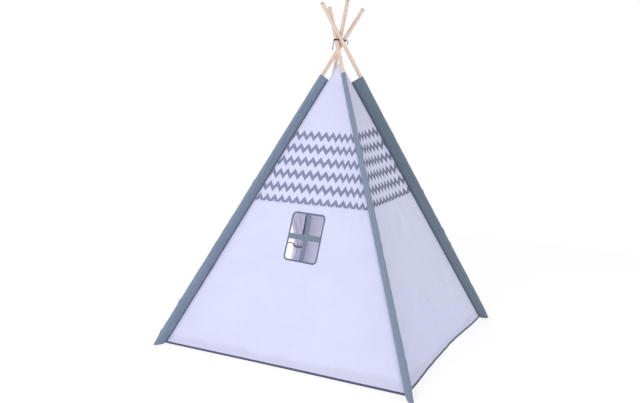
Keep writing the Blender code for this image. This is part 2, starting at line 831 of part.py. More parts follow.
def least_gap(points, diameter):
    """Least gap of a tube to itself, leaving out neighbours along its length."""
    places = np.array(points)
    distances = np.linalg.norm(places[:, None] - places[None], axis=2)
    runs = np.concatenate([[0], np.cumsum(np.linalg.norm(np.diff(places, axis=0), axis=1))])
    apart = np.abs(runs[:, None] - runs[None]) > 4 * diameter
    return distances[apart].min() - diameter


def make_lashing(materials):
    """Turns of cord drawn tight round the four poles, just above their crossing."""
    count = round(LASHING_TURNS * LASHING_LOOP_POINTS)
    low = CROSSING_HEIGHT + LASHING_RISE
    winding = []
    for i in range(count + 1):
        turn = i / LASHING_LOOP_POINTS
        winding.append(bundle_point(turn, low + LASHING_PITCH * turn))
    gap = least_gap(winding, CORD_DIAMETER)
    print(f"lashing: {LASHING_TURNS} turns, least gap to itself {gap * 1000:.2f} mm")
    if gap < LEAST_TURN_GAP:
        raise ValueError("the lashing's turns touch: raise LASHING_PITCH")
    tube("lashing", winding, CORD_DIAMETER, 1, materials["cord"])
    return winding


def make_lashing_tails(winding, materials):
    """Loose ends that carry on from the winding's two ends."""
    for name, end, before, bends in (
        ("lashing_tail_low", winding[0], winding[1], LOW_TAIL_ROUTE),
        ("lashing_tail_high", winding[-1], winding[-2], HIGH_TAIL_ROUTE),
    ):
        away = (end - before).normalized()
        side = UP.cross(away).normalized()
        start = end + away * 2 * FIT_GAP
        points = [start] + [start + away * run + side * sway + UP * rise for run, sway, rise in bends]
        route, length = smooth_route(points, TAIL_POINT_STEP)
        print(f"{name}: {length * 1000:.1f} mm")
        tube(name, route, CORD_DIAMETER, 2, materials["cord"])


def main():
    clear_scene()
    materials = {
        "wood": finish_material("wood", (0.80, 0.64, 0.50), 0.55),
        "steel": finish_material("steel", (0.62, 0.62, 0.64), 0.35, 1.0),
        "canvas": finish_material("canvas", (0.74, 0.76, 0.92), 0.90),
        "print": finish_material("print", (0.62, 0.64, 0.80), 0.90),
        "sleeve": finish_material("sleeve", (0.20, 0.27, 0.38), 0.90),
        "binding": finish_material("binding", (0.14, 0.17, 0.25), 0.85),
        "strap": finish_material("strap", (0.17, 0.21, 0.32), 0.85),
        "cord": finish_material("cord", (0.03, 0.035, 0.05), 0.80),
    }
    pivots = {}
    for corner in CORNER_SIGNS:
        pivots[corner] = new_pivot(f"fold_pivot_{corner}", pole_crossing(corner))
        make_pole(corner, pivots[corner], materials)
        make_sleeve(corner, pivots[corner], materials)
    half_pivots = {}
    for wall, (_, low_corner, high_corner) in WALLS.items():
        for corner in (low_corner, high_corner):
            seat = wall_point(wall, corner_side(wall, corner) * half_width(0), 0)
            pivot = new_pivot(f"crease_pivot_{wall}_{corner}", seat)
            half_pivots[wall, corner] = pivot
            make_band(wall, corner, pivot, materials)
            if wall == "door":
                make_curtain(corner, pivot, materials)
                make_tie(corner, pivot, materials)
                make_tie_tail(corner, pivot, materials)
                continue
            make_hem(wall, corner, pivot, materials)
            panel = make_panel(wall, corner, pivot, materials)
            if wall == "window":
                boolean(panel, window_cutter(corner), "DIFFERENCE")
                make_binding(corner, pivot, materials)
    make_straps({corner: half_pivots["window", corner] for corner in ("left", "front")}, materials)
    make_peak(materials)
    winding = make_lashing(materials)
    make_lashing_tails(winding, materials)


main()
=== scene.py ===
"""The kids teepee's looks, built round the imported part: cloth walls with a zigzag print, corner
sleeves, hems, window tapes, gathered door curtains, a lashing cord and wooden poles.

Metres, +Z up, in the part's own frame. The window faces +X and the doorway faces -Y.
"""

import math

import bpy
import numpy as np
from mathutils import Matrix, Vector


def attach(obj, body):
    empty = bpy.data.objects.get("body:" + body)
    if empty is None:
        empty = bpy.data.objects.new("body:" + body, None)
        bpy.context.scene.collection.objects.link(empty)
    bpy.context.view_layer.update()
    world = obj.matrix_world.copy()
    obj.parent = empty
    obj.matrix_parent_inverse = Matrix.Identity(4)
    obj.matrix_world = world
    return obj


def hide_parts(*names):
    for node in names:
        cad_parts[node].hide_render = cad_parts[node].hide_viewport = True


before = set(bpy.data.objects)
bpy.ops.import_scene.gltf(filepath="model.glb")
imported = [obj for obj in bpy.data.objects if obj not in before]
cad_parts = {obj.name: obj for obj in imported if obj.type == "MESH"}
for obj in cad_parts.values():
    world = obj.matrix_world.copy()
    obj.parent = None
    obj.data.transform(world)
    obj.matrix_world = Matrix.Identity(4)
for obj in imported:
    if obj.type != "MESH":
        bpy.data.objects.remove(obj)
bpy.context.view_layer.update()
SCENE = bpy.context.scene

# Sizes repeated from the part
FOOT_HALF_SPACING = 0.600
CROSSING_HEIGHT = 1.365
WALL_FOOT = 0.5697
APEX = 1.2946
BAND_SEAM = 0.642
SLEEVE_TOP = 1.2256
POLE_DIAMETER = 0.018
POLE_LENGTH = 1.812
CROSSING_SHARES = {
    "left": (-0.214, -0.131),
    "front": (1.926, 0.137),
    "right": (-0.131, 1.230),
    "back": (-1.581, -1.230),
}
CORNER_SIGNS = {"left": (1, -1), "front": (1, 1), "right": (-1, 1), "back": (-1, -1)}
WALLS = {
    "window": ((1, 0, 0), "left", "front"),
    "side": ((0, 1, 0), "front", "right"),
    "rear": ((-1, 0, 0), "right", "back"),
    "door": ((0, -1, 0), "back", "left"),
}
UP = np.array((0.0, 0.0, 1.0))
CREASE_GAP = 0.0006
SEAM_INSET = 0.0018
HEM_FLOOR_GAP = 0.003
HEM_HEIGHT = 0.008
HEM_RISE = {"window": 0.001, "side": 0.011, "rear": 0.011, "door": 0.0}
CLOTH_THICKNESS = 0.0012
PEAK_TOP = APEX - 0.0010


def unit(v):
    v = np.asarray(v, float)
    return v / np.linalg.norm(v, axis=-1, keepdims=True)


def smoothstep(t):
    t = np.clip(t, 0, 1)
    return t * t * (3 - 2 * t)


def half_width(z):
    return WALL_FOOT * (1 - z / APEX)


def seam_u(z):
    return half_width(z) - SEAM_INSET


def wall_point(wall, u, z, offset):
    """Points u sideways of a wall's centre line at height z, offset outwards. Takes arrays."""
    out = np.array(WALLS[wall][0], float)
    sideways = np.cross(UP, out)
    normal = unit(out * APEX + UP * WALL_FOOT)
    u, z, offset = np.broadcast_arrays(u, z, offset)
    return (
        out * half_width(z)[..., None]
        + sideways * u[..., None]
        + UP * z[..., None]
        + normal * offset[..., None]
    )


def corner_side(wall, corner):
    return 1 if WALLS[wall][2] == corner else -1


def floor_point(corner, reach):
    """The point on the floor below a corner, at a distance from both centre lines."""
    return np.array((*CORNER_SIGNS[corner], 0.0)) * reach


# Camera at the photograph's angle
FOCAL_PIXELS = 589.7
FRAME_WIDTH = 640
SENSOR_WIDTH = 36.0
VIEW_AZIMUTH = math.radians(117.99)
VIEW_ELEVATION = math.radians(5.42)
VIEW_ROLL = math.radians(0.82)
VIEW_DISTANCE = 2.898
VIEW_SHIFT = (-0.0750, 0.6301)


def make_camera():
    flat = math.cos(VIEW_ELEVATION)
    back = np.array(
        (math.sin(VIEW_AZIMUTH) * flat, -math.cos(VIEW_AZIMUTH) * flat, math.sin(VIEW_ELEVATION))
    )
    right = np.array((math.cos(VIEW_AZIMUTH), math.sin(VIEW_AZIMUTH), 0))
    up = np.cross(back, right)
    right, up = (
        right * math.cos(VIEW_ROLL) + up * math.sin(VIEW_ROLL),
        up * math.cos(VIEW_ROLL) - right * math.sin(VIEW_ROLL),
    )
    place = back * VIEW_DISTANCE + right * VIEW_SHIFT[0] + up * VIEW_SHIFT[1]
    data = bpy.data.cameras.new("camera")
    data.sensor_width = SENSOR_WIDTH
    data.lens = FOCAL_PIXELS / FRAME_WIDTH * SENSOR_WIDTH
    camera = bpy.data.objects.new("camera", data)
    SCENE.collection.objects.link(camera)
    axes = np.column_stack((right, up, back))
    camera.matrix_world = Matrix.Translation(place) @ Matrix(axes.tolist()).to_4x4()
    SCENE.camera = camera


make_camera()


# Poles


def pole_foot(corner):
    return floor_point(corner, FOOT_HALF_SPACING)


def pole_direction(corner):
    share_x, share_y = CROSSING_SHARES[corner]
    crossing = np.array((share_x * POLE_DIAMETER, share_y * POLE_DIAMETER, CROSSING_HEIGHT))
    return unit(crossing - pole_foot(corner))


# Mesh helpers

SHARP_ANGLE = math.radians(55)


def new_mesh(name, points, faces, marks, material, smooth=True, seams=None):
    """An object from points, faces and flat coordinates in metres. Seams are distances from the
    sewn edges."""
    mesh = bpy.data.meshes.new(name)
    mesh.from_pydata(points.tolist(), [], faces)
    corners = np.empty(len(mesh.loops), np.int32)
    mesh.loops.foreach_get("vertex_index", corners)
    for layer_name, values in (("cloth", marks), ("seams", seams)):
        if values is not None:
            layer = mesh.uv_layers.new(name=layer_name)
            layer.data.foreach_set("uv", np.asarray(values, np.float32)[corners].ravel())
    mesh.materials.append(material)
    mesh.update()
    if smooth:
        mesh.shade_smooth()
        mesh.set_sharp_from_angle(angle=SHARP_ANGLE)
    thing = bpy.data.objects.new(name, mesh)
    SCENE.collection.objects.link(thing)
    return thing


def lengths_along(points):
    steps = np.linalg.norm(np.diff(points, axis=0), axis=-1)
    return np.concatenate([np.zeros((1, *steps.shape[1:])), np.cumsum(steps, axis=0)])


def skin(name, rings, material, around=None):
    """A closed tube through rings of points. Its flat coordinates run along it and round it."""
    rings = np.asarray(rings, float)
    rows, count = rings.shape[:2]
    faces = []
    for r in range(rows - 1):
        for i in range(count):
            j = (i + 1) % count
            faces.append((r * count + i, r * count + j, (r + 1) * count + j, (r + 1) * count + i))
    faces.append(tuple(range(count))[::-1])
    faces.append(tuple((rows - 1) * count + i for i in range(count)))
    along = lengths_along(rings.mean(axis=1))
    if around is None:
        closed = np.concatenate([rings, rings[:, :1]], axis=1)
        steps = np.linalg.norm(np.diff(closed, axis=1), axis=2)
        run = np.cumsum(steps, axis=1) - steps
        around = np.minimum(run, steps.sum(axis=1, keepdims=True) - run)
    marks = np.stack(np.broadcast_arrays(along[:, None], around), axis=-1)
    points = rings.reshape(-1, 3)
    return faced_outwards(new_mesh(name, points, faces, marks.reshape(-1, 2), material))


def faced_outwards(thing):
    """A closed mesh's object, with its faces turned outwards."""
    mesh = thing.data
    mesh.calc_loop_triangles()
    places = np.array([v.co for v in mesh.vertices])
    corners = np.array([t.vertices for t in mesh.loop_triangles])
    a, b, c = places[corners[:, 0]], places[corners[:, 1]], places[corners[:, 2]]
    if np.einsum("ij,ij->i", a, np.cross(b, c)).sum() < 0:
        mesh.flip_normals()
    return thing


def cloth_grid(name, middle, marks, seams, material, thickness=CLOTH_THICKNESS, keep=None):
    """A closed sheet of cloth about a grid of points. keep says which of its cells there are."""
    rows, columns = middle.shape[:2]
    normals = unit(np.cross(np.gradient(middle, axis=1), np.gradient(middle, axis=0)))
    count = rows * columns
    half = normals * thickness / 2
    points = np.concatenate([(middle + half).reshape(-1, 3), (middle - half).reshape(-1, 3)])
    if keep is None:
        keep = np.ones((rows - 1, columns - 1), bool)
    # Each edge that only one cell has is on a rim, which a narrow face closes
    faces, rims = [], {}
    for r, c in zip(*np.nonzero(keep)):
        a = r * columns + c
        quad = (a, a + 1, a + columns + 1, a + columns)
        faces.append(quad)
        faces.append(tuple(count + k for k in quad[::-1]))
        for edge in zip(quad, quad[1:] + quad[:1]):
            if edge[::-1] in rims:
                del rims[edge[::-1]]
            else:
                rims[edge] = True
    for a, b in rims:
        faces.append((b, a, count + a, count + b))
    used = np.unique(np.array([k for face in faces for k in face]))
    place = np.full(2 * count, -1)
    place[used] = np.arange(len(used))
    faces = [tuple(int(place[k]) for k in face) for face in faces]
    marks = np.concatenate([marks.reshape(-1, 2)] * 2)[used]
    seams = np.concatenate([seams.reshape(-1, 2)] * 2)[used]
    return faced_outwards(new_mesh(name, points[used], faces, marks, material, seams=seams))


def dress(piece, body, node=None):
    """Ties a visible piece to its body, and hides the plain piece that it stands for."""
    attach(piece, body)
    if node is not None:
        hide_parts(node)
    return piece


def declare_sheet(middle, with_pieces=()):
    """Measures how large a piece's cloth is, flat along its own rows and columns."""
    width = np.linalg.norm(np.diff(middle, axis=1), axis=2).sum(axis=1).max()
    length = np.linalg.norm(np.diff(middle, axis=0), axis=2).sum(axis=0).max()
    width, length = math.ceil(width * 1000) / 1000, math.ceil(length * 1000) / 1000


# Materials


class Shader:
    """A node material, with short ways to make its nodes."""

    def __init__(self, name, roughness, **constants):
        self.material = bpy.data.materials.new(name)
        self.material.use_nodes = True
        self.tree = self.material.node_tree
        self.principled = self.tree.nodes["Principled BSDF"]
        self.principled.inputs["Roughness"].default_value = roughness
        for key, value in constants.items():
            self.principled.inputs[key.replace("_", " ")].default_value = value

    def node(self, kind, inputs=(), **settings):
        made = self.tree.nodes.new("ShaderNode" + kind)
        for key, value in settings.items():
            setattr(made, key, value)
        for key, value in dict(inputs).items():
            self.put(made.inputs[key], value)
        return made

    def put(self, socket, value):
        if isinstance(value, bpy.types.NodeSocket):
            self.tree.links.new(value, socket)
        else:
            socket.default_value = value

    def math(self, operation, *values):
        return self.node("Math", enumerate(values), operation=operation).outputs[0]

    def plus(self, *values):
        return self.math("ADD", *values)

    def minus(self, *values):
        return self.math("SUBTRACT", *values)

    def times(self, *values):
        return self.math("MULTIPLY", *values)

    def largest(self, first, *others):
        for other in others:
            first = self.math("MAXIMUM", first, other)
        return first

    def apart(self, first, second):
        return self.math("ABSOLUTE", self.minus(first, second))

    def flat(self, layer="cloth"):
        """The piece's own flat coordinates, in metres."""
        split = self.node("SeparateXYZ", {0: self.node("UVMap", uv_map=layer).outputs[0]})
        return split.outputs[0], split.outputs[1]

    def object_point(self):
        return self.node("TexCoord").outputs["Object"]

    def noise(self, vector, scale, detail=2.0, roughness=0.5):
        inputs = {"Vector": vector, "Scale": scale, "Detail": detail, "Roughness": roughness}
        return self.node("TexNoise", inputs).outputs["Fac"]

    def scaled(self, vector, *scale):
        return self.node("Mapping", {"Vector": vector, "Scale": scale}).outputs[0]

    def span(self, *numbers):
        """A smooth step of a value from low to high, which may go between two other levels."""
        made = self.node("MapRange", enumerate(numbers), interpolation_type="SMOOTHSTEP")
        return made.outputs[0]

    def mix(self, share, first, second):
        return self.node("Mix", {0: share, 6: first, 7: second}, data_type="RGBA").outputs[2]

    def colour(self, value):
        self.put(self.principled.inputs["Base Color"], value)

    def rough(self, value):
        self.put(self.principled.inputs["Roughness"], value)

    def bump(self, height, distance):
        made = self.node("Bump", {"Height": height, "Distance": distance, "Strength": 1.0})
        self.put(self.principled.inputs["Normal"], made.outputs[0])


def paint(red, green, blue):
    """A colour written as the eye's 0 to 255 values, in the linear numbers that shaders use."""
    shares = np.array((red, green, blue)) / 255
    linear = np.where(shares <= 0.04045, shares / 12.92, ((shares + 0.055) / 1.055) ** 2.4)
    return (*(float(value) for value in linear), 1.0)


THREAD = 0.0011
STITCH_PITCH = 0.0036
STITCH_WIDTH = 0.0011
STREAK_RATES = ((30.0, 900.0), (900.0, 30.0))
CLOTH_RELIEF = 0.00022
TAPE_RELIEF = 0.0003
# From strand to strand and from fibre to fibre of a cord
CORD_PITCHES = (0.0042, 0.0006)
WOOD_OFFSETS = {"left": 0.3, "front": 1.7, "right": 3.1, "back": 4.9}
END_GRAIN = 0.0008


def weave(shader):
    """The height of a plain weave."""
    waves_both_ways = (
        shader.math("SINE", shader.times(run, math.tau / (2 * THREAD))) for run in shader.flat()
    )
    return shader.times(*waves_both_ways)


def slubs(shader):
    """Streaks where a thread of the weave is thicker or darker, along and across."""
    u, v = shader.flat()
    streaks = []
    for along, over in STREAK_RATES:
        place = shader.node("CombineXYZ", {0: shader.times(u, along), 1: shader.times(v, over)})
        streaks.append(shader.noise(place.outputs[0], 1.0, 1.0))
    return shader.plus(*streaks)


def stitches(shader, along, across, *places):
    """Where rows of stitches lie, at distances across the piece."""
    run = shader.math("PINGPONG", along, STITCH_PITCH / 2)
    thread = shader.span(run, STITCH_PITCH * 0.10, STITCH_PITCH * 0.18)
    edges = (STITCH_WIDTH * 0.35, STITCH_WIDTH * 0.65, 1.0, 0.0)
    rows = [shader.times(shader.span(shader.apart(across, at), *edges), thread) for at in places]
    return shader.largest(*rows)


def cloth_finish(shader, base, shade, sewn, relief=CLOTH_RELIEF):
    """Weave, streaks, soft blotches and small creases on a base colour, and stitches' height."""
    point = shader.object_point()
    blotch = shader.noise(point, 9.0, 3.0)
    streak = shader.span(slubs(shader), 0.7, 1.3)
    tone = shader.mix(shader.times(streak, 0.22), base, shade)
    shader.colour(shader.mix(shader.span(blotch, 0.35, 0.75, 0.0, 0.16), tone, shade))
    height = shader.plus(shader.times(weave(shader), 0.35), shader.times(streak, 0.5))
    crumple = shader.noise(point, 34.0, 3.0, 0.55)
    height = shader.plus(shader.plus(height, shader.times(crumple, 7.0)), sewn)
    shader.rough(shader.span(blotch, 0.2, 0.8, 0.82, 0.94))
    shader.bump(height, relief)


def wall_seams(shader, base, corner_shade):
    """Colour and relief with stitches beside the corner seam and on both sides of the band seam,
    on cloth darkened beside the corner seam by painted shade, where the sleeve stands out."""
    from_corner, over_band = shader.flat("seams")
    # Painted shade: darker within about 16 mm of the corner seam, beside the sleeve
    base = shader.mix(shader.span(from_corner, 0.004, 0.016, 0.45, 0.0), base, corner_shade)
    upright = stitches(shader, over_band, from_corner, CORNER_STITCHES)
    sewn = shader.largest(upright, stitches(shader, from_corner, over_band, *BAND_STITCHES))
    # The stitches are darkened by painted shade round their holes
    return shader.mix(shader.times(sewn, 0.30), base, CANVAS_STITCH_SHADE), shader.times(sewn, 2.4)


CORNER_STITCHES = 0.0042
BAND_STITCHES = (0.0032, -0.0036)
# Painted shade round the canvas's stitches
CANVAS_STITCH_SHADE = paint(178, 182, 214)
CANVAS = paint(225, 227, 255)
CANVAS_SHADE = paint(206, 207, 240)
# Painted shade on the plain cloth beside the corner seams
CANVAS_CORNER_SHADE = paint(190, 193, 226)
CANVAS_FOOT = paint(215, 215, 242)
# Painted shade on the print beside the corner seams
PRINT_CORNER_SHADE = paint(92, 96, 126)
FOOT_FADE = (0.055, 0.080)
ROW_PITCH = 0.058
ROW_START = 0.6505
ROW_COUNT = 6
ZIGZAG_PERIOD = 0.039
ZIGZAG_REACH = 0.0125
STRIPE_HALF = 0.0118
STRIPE_BLUR = 0.0006


def make_canvas():
    """Plain cloth, a little greyer near the floor."""
    shader = Shader("canvas", 0.9, Sheen_Weight=0.12, Sheen_Roughness=0.5)
    uneven = shader.noise(shader.object_point(), 6.0)
    height = shader.plus(shader.flat()[1], shader.times(uneven, 0.05))
    cloth = shader.mix(shader.span(height, *FOOT_FADE, 1.0, 0.0), CANVAS, CANVAS_FOOT)
    base, relief = wall_seams(shader, cloth, CANVAS_CORNER_SHADE)
    cloth_finish(shader, base, CANVAS_SHADE, relief)
    return shader.material


def make_print(name, ink, ink_shade):
    """Cloth printed with rows of zigzag stripes."""
    shader = Shader(name, 0.9, Sheen_Weight=0.12, Sheen_Roughness=0.5)
    point = shader.object_point()
    u, v = shader.flat()
    zigzag = shader.math("PINGPONG", u, ZIGZAG_PERIOD / 2)
    zigzag = shader.times(zigzag, 4 * ZIGZAG_REACH / ZIGZAG_PERIOD)
    foot = ROW_START - ROW_PITCH / 2 - ZIGZAG_REACH
    height = shader.minus(shader.minus(v, foot), zigzag)
    uneven = shader.minus(shader.noise(point, 160.0), 0.5)
    height = shader.plus(height, shader.times(uneven, 0.0016))
    within = shader.math("MODULO", shader.plus(height, ROW_PITCH * 4), ROW_PITCH)
    edge = (STRIPE_HALF - STRIPE_BLUR, STRIPE_HALF + STRIPE_BLUR)
    stripe = shader.span(shader.apart(within, ROW_PITCH / 2), *edge, 1.0, 0.0)
    stripe = shader.times(stripe, shader.math("LESS_THAN", height, ROW_PITCH * ROW_COUNT))
    stripe = shader.times(stripe, shader.span(shader.noise(point, 420.0), 0.25, 0.45, 0.86, 1.0))
    # Painted shade beside the corner seam, over the canvas and over the ink
    corner_shade = shader.mix(stripe, CANVAS_CORNER_SHADE, PRINT_CORNER_SHADE)
    base, relief = wall_seams(shader, shader.mix(stripe, CANVAS, paint(*ink)), corner_shade)
    shade = shader.mix(stripe, CANVAS_SHADE, paint(*ink_shade))
    cloth_finish(shader, base, shade, relief)
    return shader.material


def make_tape(name, base, shade, rows, fold=None):
    """A dark woven cloth or tape, with rows of stitches at distances across it, and a colour of
    painted shade that it darkens to towards its sewn edge."""
    shader = Shader(name, 0.9, Sheen_Weight=0.15, Sheen_Roughness=0.5)
    along, across = shader.flat()
    sewn = stitches(shader, along, across, *rows)
    thread = tuple(min(1.0, value * 1.35) for value in paint(*base)[:3]) + (1.0,)
    tone = shader.mix(shader.times(sewn, 0.8), paint(*base), thread)
    # Painted shade: darker towards the sewn edge, where the sleeve lies flat against the wall
    if fold is not None:
        edge = shader.plus(across, shader.times(shader.noise(shader.object_point(), 26.0), 0.006))
        tone = shader.mix(shader.span(edge, 0.006, 0.020, 0.62, 0.0), tone, paint(*fold))
    cloth_finish(shader, tone, paint(*shade), shader.times(sewn, 3.0), TAPE_RELIEF)
    return shader.material


def make_cord():
    """A twisted dark cord: its strands wind round it, each of many fibres."""
    shader = Shader("dark_cord", 0.8, Sheen_Weight=0.2)
    u, v = shader.flat()
    strands = shader.plus(u, shader.times(v, 1.15))
    wave, fibres = (
        shader.math("SINE", shader.times(strands, math.tau / pitch)) for pitch in CORD_PITCHES
    )
    # The grooves between strands are painted darker than their crests: painted shade
    shader.colour(shader.mix(shader.span(wave, -1.0, 0.2), paint(20, 21, 27), paint(62, 66, 78)))
    shader.bump(shader.plus(shader.times(wave, 2.0), shader.times(fibres, 0.25)), 0.0002)
    return shader.material


def make_wood(corner):
    """Pale pine with grain along the pole, rings on its ends, and small knots."""
    shader = Shader(f"wood_{corner}", 0.55, Coat_Weight=0.08, Coat_Roughness=0.4)
    direction = Vector(pole_direction(corner))
    turn = direction.to_track_quat("Z", "Y").inverted().to_euler("XYZ")
    moved = shader.node(
        "VectorMath", {0: shader.object_point(), 1: tuple(pole_foot(corner))}, operation="SUBTRACT"
    )
    inputs = {"Vector": moved.outputs[0], "Rotation": tuple(turn)}
    local = shader.node("VectorRotate", inputs, rotation_type="EULER_XYZ").outputs[0]
    stretched = shader.scaled(local, 1.0, 1.0, 0.045)
    offset = WOOD_OFFSETS[corner]
    drawn = shader.node(
        "VectorMath", {0: stretched, 1: (0.013 * offset, -0.008 * offset, offset)}, operation="ADD"
    )
    grain = drawn.outputs[0]
    rings = shader.node(
        "TexWave",
        {"Vector": grain, "Scale": 46.0, "Distortion": 1.1, "Detail": 2.0, "Detail Scale": 0.7},
        wave_type="RINGS",
        rings_direction="Z",
    ).outputs["Fac"]
    streak = shader.noise(grain, 420.0, 3.0)
    blotch = shader.noise(stretched, 60.0)
    tone = shader.mix(shader.span(rings, 0.25, 0.95), paint(236, 214, 201), paint(214, 186, 169))
    tone = shader.mix(shader.span(streak, 0.52, 0.78, 0.0, 0.5), tone, paint(196, 165, 146))
    tone = shader.mix(shader.span(blotch, 0.35, 0.7, 0.0, 0.35), tone, paint(243, 226, 215))
    squat = shader.scaled(local, 1.0, 1.0, 0.35)
    knots = shader.node("TexVoronoi", {"Vector": squat, "Scale": 11.0}).outputs["Distance"]
    tone = shader.mix(shader.span(knots, 0.03, 0.075, 0.75, 0.0), tone, paint(150, 108, 82))
    height = shader.node("SeparateXYZ", {0: local}).outputs[2]
    end_grain = shader.math("GREATER_THAN", height, POLE_LENGTH - END_GRAIN)
    shader.colour(shader.mix(shader.times(end_grain, 0.45), tone, paint(168, 132, 110)))
    shader.rough(shader.span(streak, 0.3, 0.7, 0.48, 0.62))
    shader.bump(shader.plus(shader.times(rings, 0.4), streak), 0.00010)
    return shader.material


def make_steel():
    shader = Shader("steel", 0.35, Metallic=1.0)
    brushed = shader.noise(shader.scaled(shader.object_point(), 1.0, 1.0, 30.0), 240.0, 3.0)
    shader.colour(shader.mix(brushed, paint(196, 197, 200), paint(168, 170, 175)))
    shader.rough(shader.span(brushed, 0.3, 0.7, 0.28, 0.44))
    shader.bump(brushed, 0.00005)
    return shader.material


SLEEVE_STITCHES = (0.0075,)

# Each print or tape has its colour and a darker shade of it, a sleeve also painted shade at its
# edge
MATERIALS = {
    "canvas": make_canvas(),
    "print": make_print("print_cloth", (138, 143, 177), (120, 124, 160)),
    # A darker copy of the print for the side and rear walls: painted shade
    "shaded_print": make_print("shaded_print_cloth", (116, 120, 152), (100, 103, 136)),
    "sleeve": make_tape(
        "sleeve_cloth", (132, 147, 170), (112, 127, 150), SLEEVE_STITCHES, (76, 87, 108)
    ),
    # A darker copy of the sleeve cloth for the rear sleeves: painted shade
    "shaded_sleeve": make_tape(
        "shaded_sleeve_cloth", (115, 130, 145), (98, 112, 128), SLEEVE_STITCHES, (66, 77, 92)
    ),
    "strap": make_tape("strap_tape", (126, 140, 162), (104, 117, 140), (0.0035, 0.0165)),
    "binding": make_tape("binding_tape", (112, 120, 148), (92, 99, 128), (0.0050,)),
    "hem": make_tape("hem_tape", (84, 88, 118), (64, 67, 96), (0.0062,)),
    "cord": make_cord(),
    "steel": make_steel(),
}


# How a wall hangs: small waves, puckers and folds, which run on over its crease

WAVE_COUNT = 7


def waves(u, z, seed, size):
    """Smooth unevenness with bumps of about a size, from a fixed seed."""
    draw = np.random.default_rng(seed)
    total = np.zeros(np.broadcast(u, z).shape)
    for _ in range(WAVE_COUNT):
        heading, phase = draw.uniform(0, math.pi), draw.uniform(0, math.tau)
        rate = math.tau / size * draw.uniform(0.7, 1.4)
        total = total + np.sin((u * math.cos(heading) + z * math.sin(heading)) * rate + phase)
    return total / math.sqrt(WAVE_COUNT)


def ridge(u, z, start, bend, end, width, height):
    """A soft fold along a curve between two points of a wall, bent towards a third."""
    share = np.linspace(0, 1, 26)[:, None]
    start, bend, end = (np.array(point) for point in (start, bend, end))
    line = (1 - share) ** 2 * start + 2 * share * (1 - share) * bend + share**2 * end
    tops = np.sin(math.pi * np.linspace(0.04, 0.96, len(line)))
    best = np.zeros(np.broadcast(u, z).shape)
    for (line_u, line_z), top in zip(line, tops):
        distance = np.hypot(u - line_u, z - line_z)
        best = np.maximum(best, top * np.exp(-((distance / width) ** 2)))
    return height * best


WALL_SEEDS = {"window": 11, "side": 23, "rear": 37, "door": 51}
# How high the soft waves and the gathers under the band seam are, by wall
WALL_WAVES = {"window": 0.0020, "side": 0.0026, "rear": 0.0026, "door": 0.0012}
WALL_GATHERS = {"window": 0.0008, "side": 0.0019, "rear": 0.0019, "door": 0.0004}
WAVE_SIZE = 0.42
RIPPLE_SIZE = 0.13
GATHER_SIZE = 0.046
# How far below and above the band seam its gathers reach
GATHER_REACH = (0.110, 0.050)
PINCH_WIDTH = 0.006
PINCH_DEPTH = 0.0010
# How far it is from flat cloth to free cloth, inwards from a corner seam
SIDE_FADE = 0.045
# Flat this far down from the apex, and free after the fade
TOP_FLAT = 0.03
TOP_FADE = 0.10
# Folds by wall: start, bend, end, width and height
WALL_FOLDS = {
    "window": (
        ((0.43, 0.11), (0.49, 0.09), (0.535, 0.055), 0.013, 0.0034),
        ((-0.50, 0.03), (-0.30, 0.09), (-0.06, 0.05), 0.030, 0.0030),
        ((0.30, 0.64), (0.24, 0.58), (0.20, 0.55), 0.016, 0.0020),
        ((0.27, 0.60), (0.33, 0.56), (0.36, 0.50), 0.018, -0.0026),
        ((0.05, 1.18), (0.11, 1.02), (0.16, 0.86), 0.018, 0.0032),
        ((-0.38, 0.22), (-0.28, 0.28), (-0.20, 0.38), 0.022, 0.0020),
    ),
    "side": (
        ((-0.113, 0.632), (-0.150, 0.52), (-0.190, 0.43), 0.014, 0.0042),
        ((-0.026, 0.632), (-0.080, 0.50), (-0.150, 0.39), 0.018, 0.0050),
        ((-0.216, 0.632), (-0.250, 0.55), (-0.290, 0.49), 0.013, 0.0036),
        ((0.060, 0.640), (0.040, 0.54), (0.020, 0.46), 0.014, 0.0034),
        ((0.160, 0.650), (0.170, 0.58), (0.150, 0.50), 0.012, 0.0026),
        ((-0.172, 0.40), (-0.080, 0.08), (0.330, 0.045), 0.030, 0.0105),
        ((0.050, 0.21), (0.180, 0.14), (0.420, 0.110), 0.021, 0.0075),
        ((0.090, 0.31), (0.220, 0.22), (0.400, 0.180), 0.022, 0.0045),
        ((-0.132, 0.120), (-0.150, 0.07), (-0.156, 0.022), 0.011, 0.0075),
        ((-0.052, 0.100), (-0.036, 0.06), (-0.020, 0.022), 0.011, 0.0072),
        ((0.060, 0.070), (0.085, 0.045), (0.120, 0.026), 0.010, 0.0036),
        ((-0.350, 0.130), (-0.440, 0.12), (-0.510, 0.070), 0.018, 0.0046),
        ((-0.090, 0.41), (-0.170, 0.28), (-0.240, 0.170), 0.028, -0.0060),
    ),
    "rear": (
        ((-0.52, 0.04), (-0.26, 0.06), (0.08, 0.14), 0.030, 0.0080),
        ((0.08, 0.03), (0.30, 0.06), (0.46, 0.15), 0.026, 0.0075),
        ((0.40, 0.22), (0.24, 0.26), (0.08, 0.40), 0.026, 0.0045),
        ((-0.16, 0.63), (-0.20, 0.52), (-0.26, 0.43), 0.016, 0.0040),
        ((0.05, 0.63), (0.03, 0.54), (0.06, 0.44), 0.015, 0.0036),
        ((0.20, 0.63), (0.22, 0.56), (0.27, 0.50), 0.013, 0.0030),
        ((-0.06, 0.11), (-0.05, 0.07), (-0.03, 0.022), 0.012, 0.0040),
    ),
    "door": (),
}
# The band seam by wall: its height on the centre line, and how far it rises from there to a side
SEAM_LINES = {
    "window": (0.6410, -0.0075),
    "side": (0.6555, 0.0180),
    "rear": (0.6480, -0.0100),
    "door": (0.6420, 0.0),
}


def seam_line(wall, share):
    middle, rise = SEAM_LINES[wall]
    return middle + rise * share


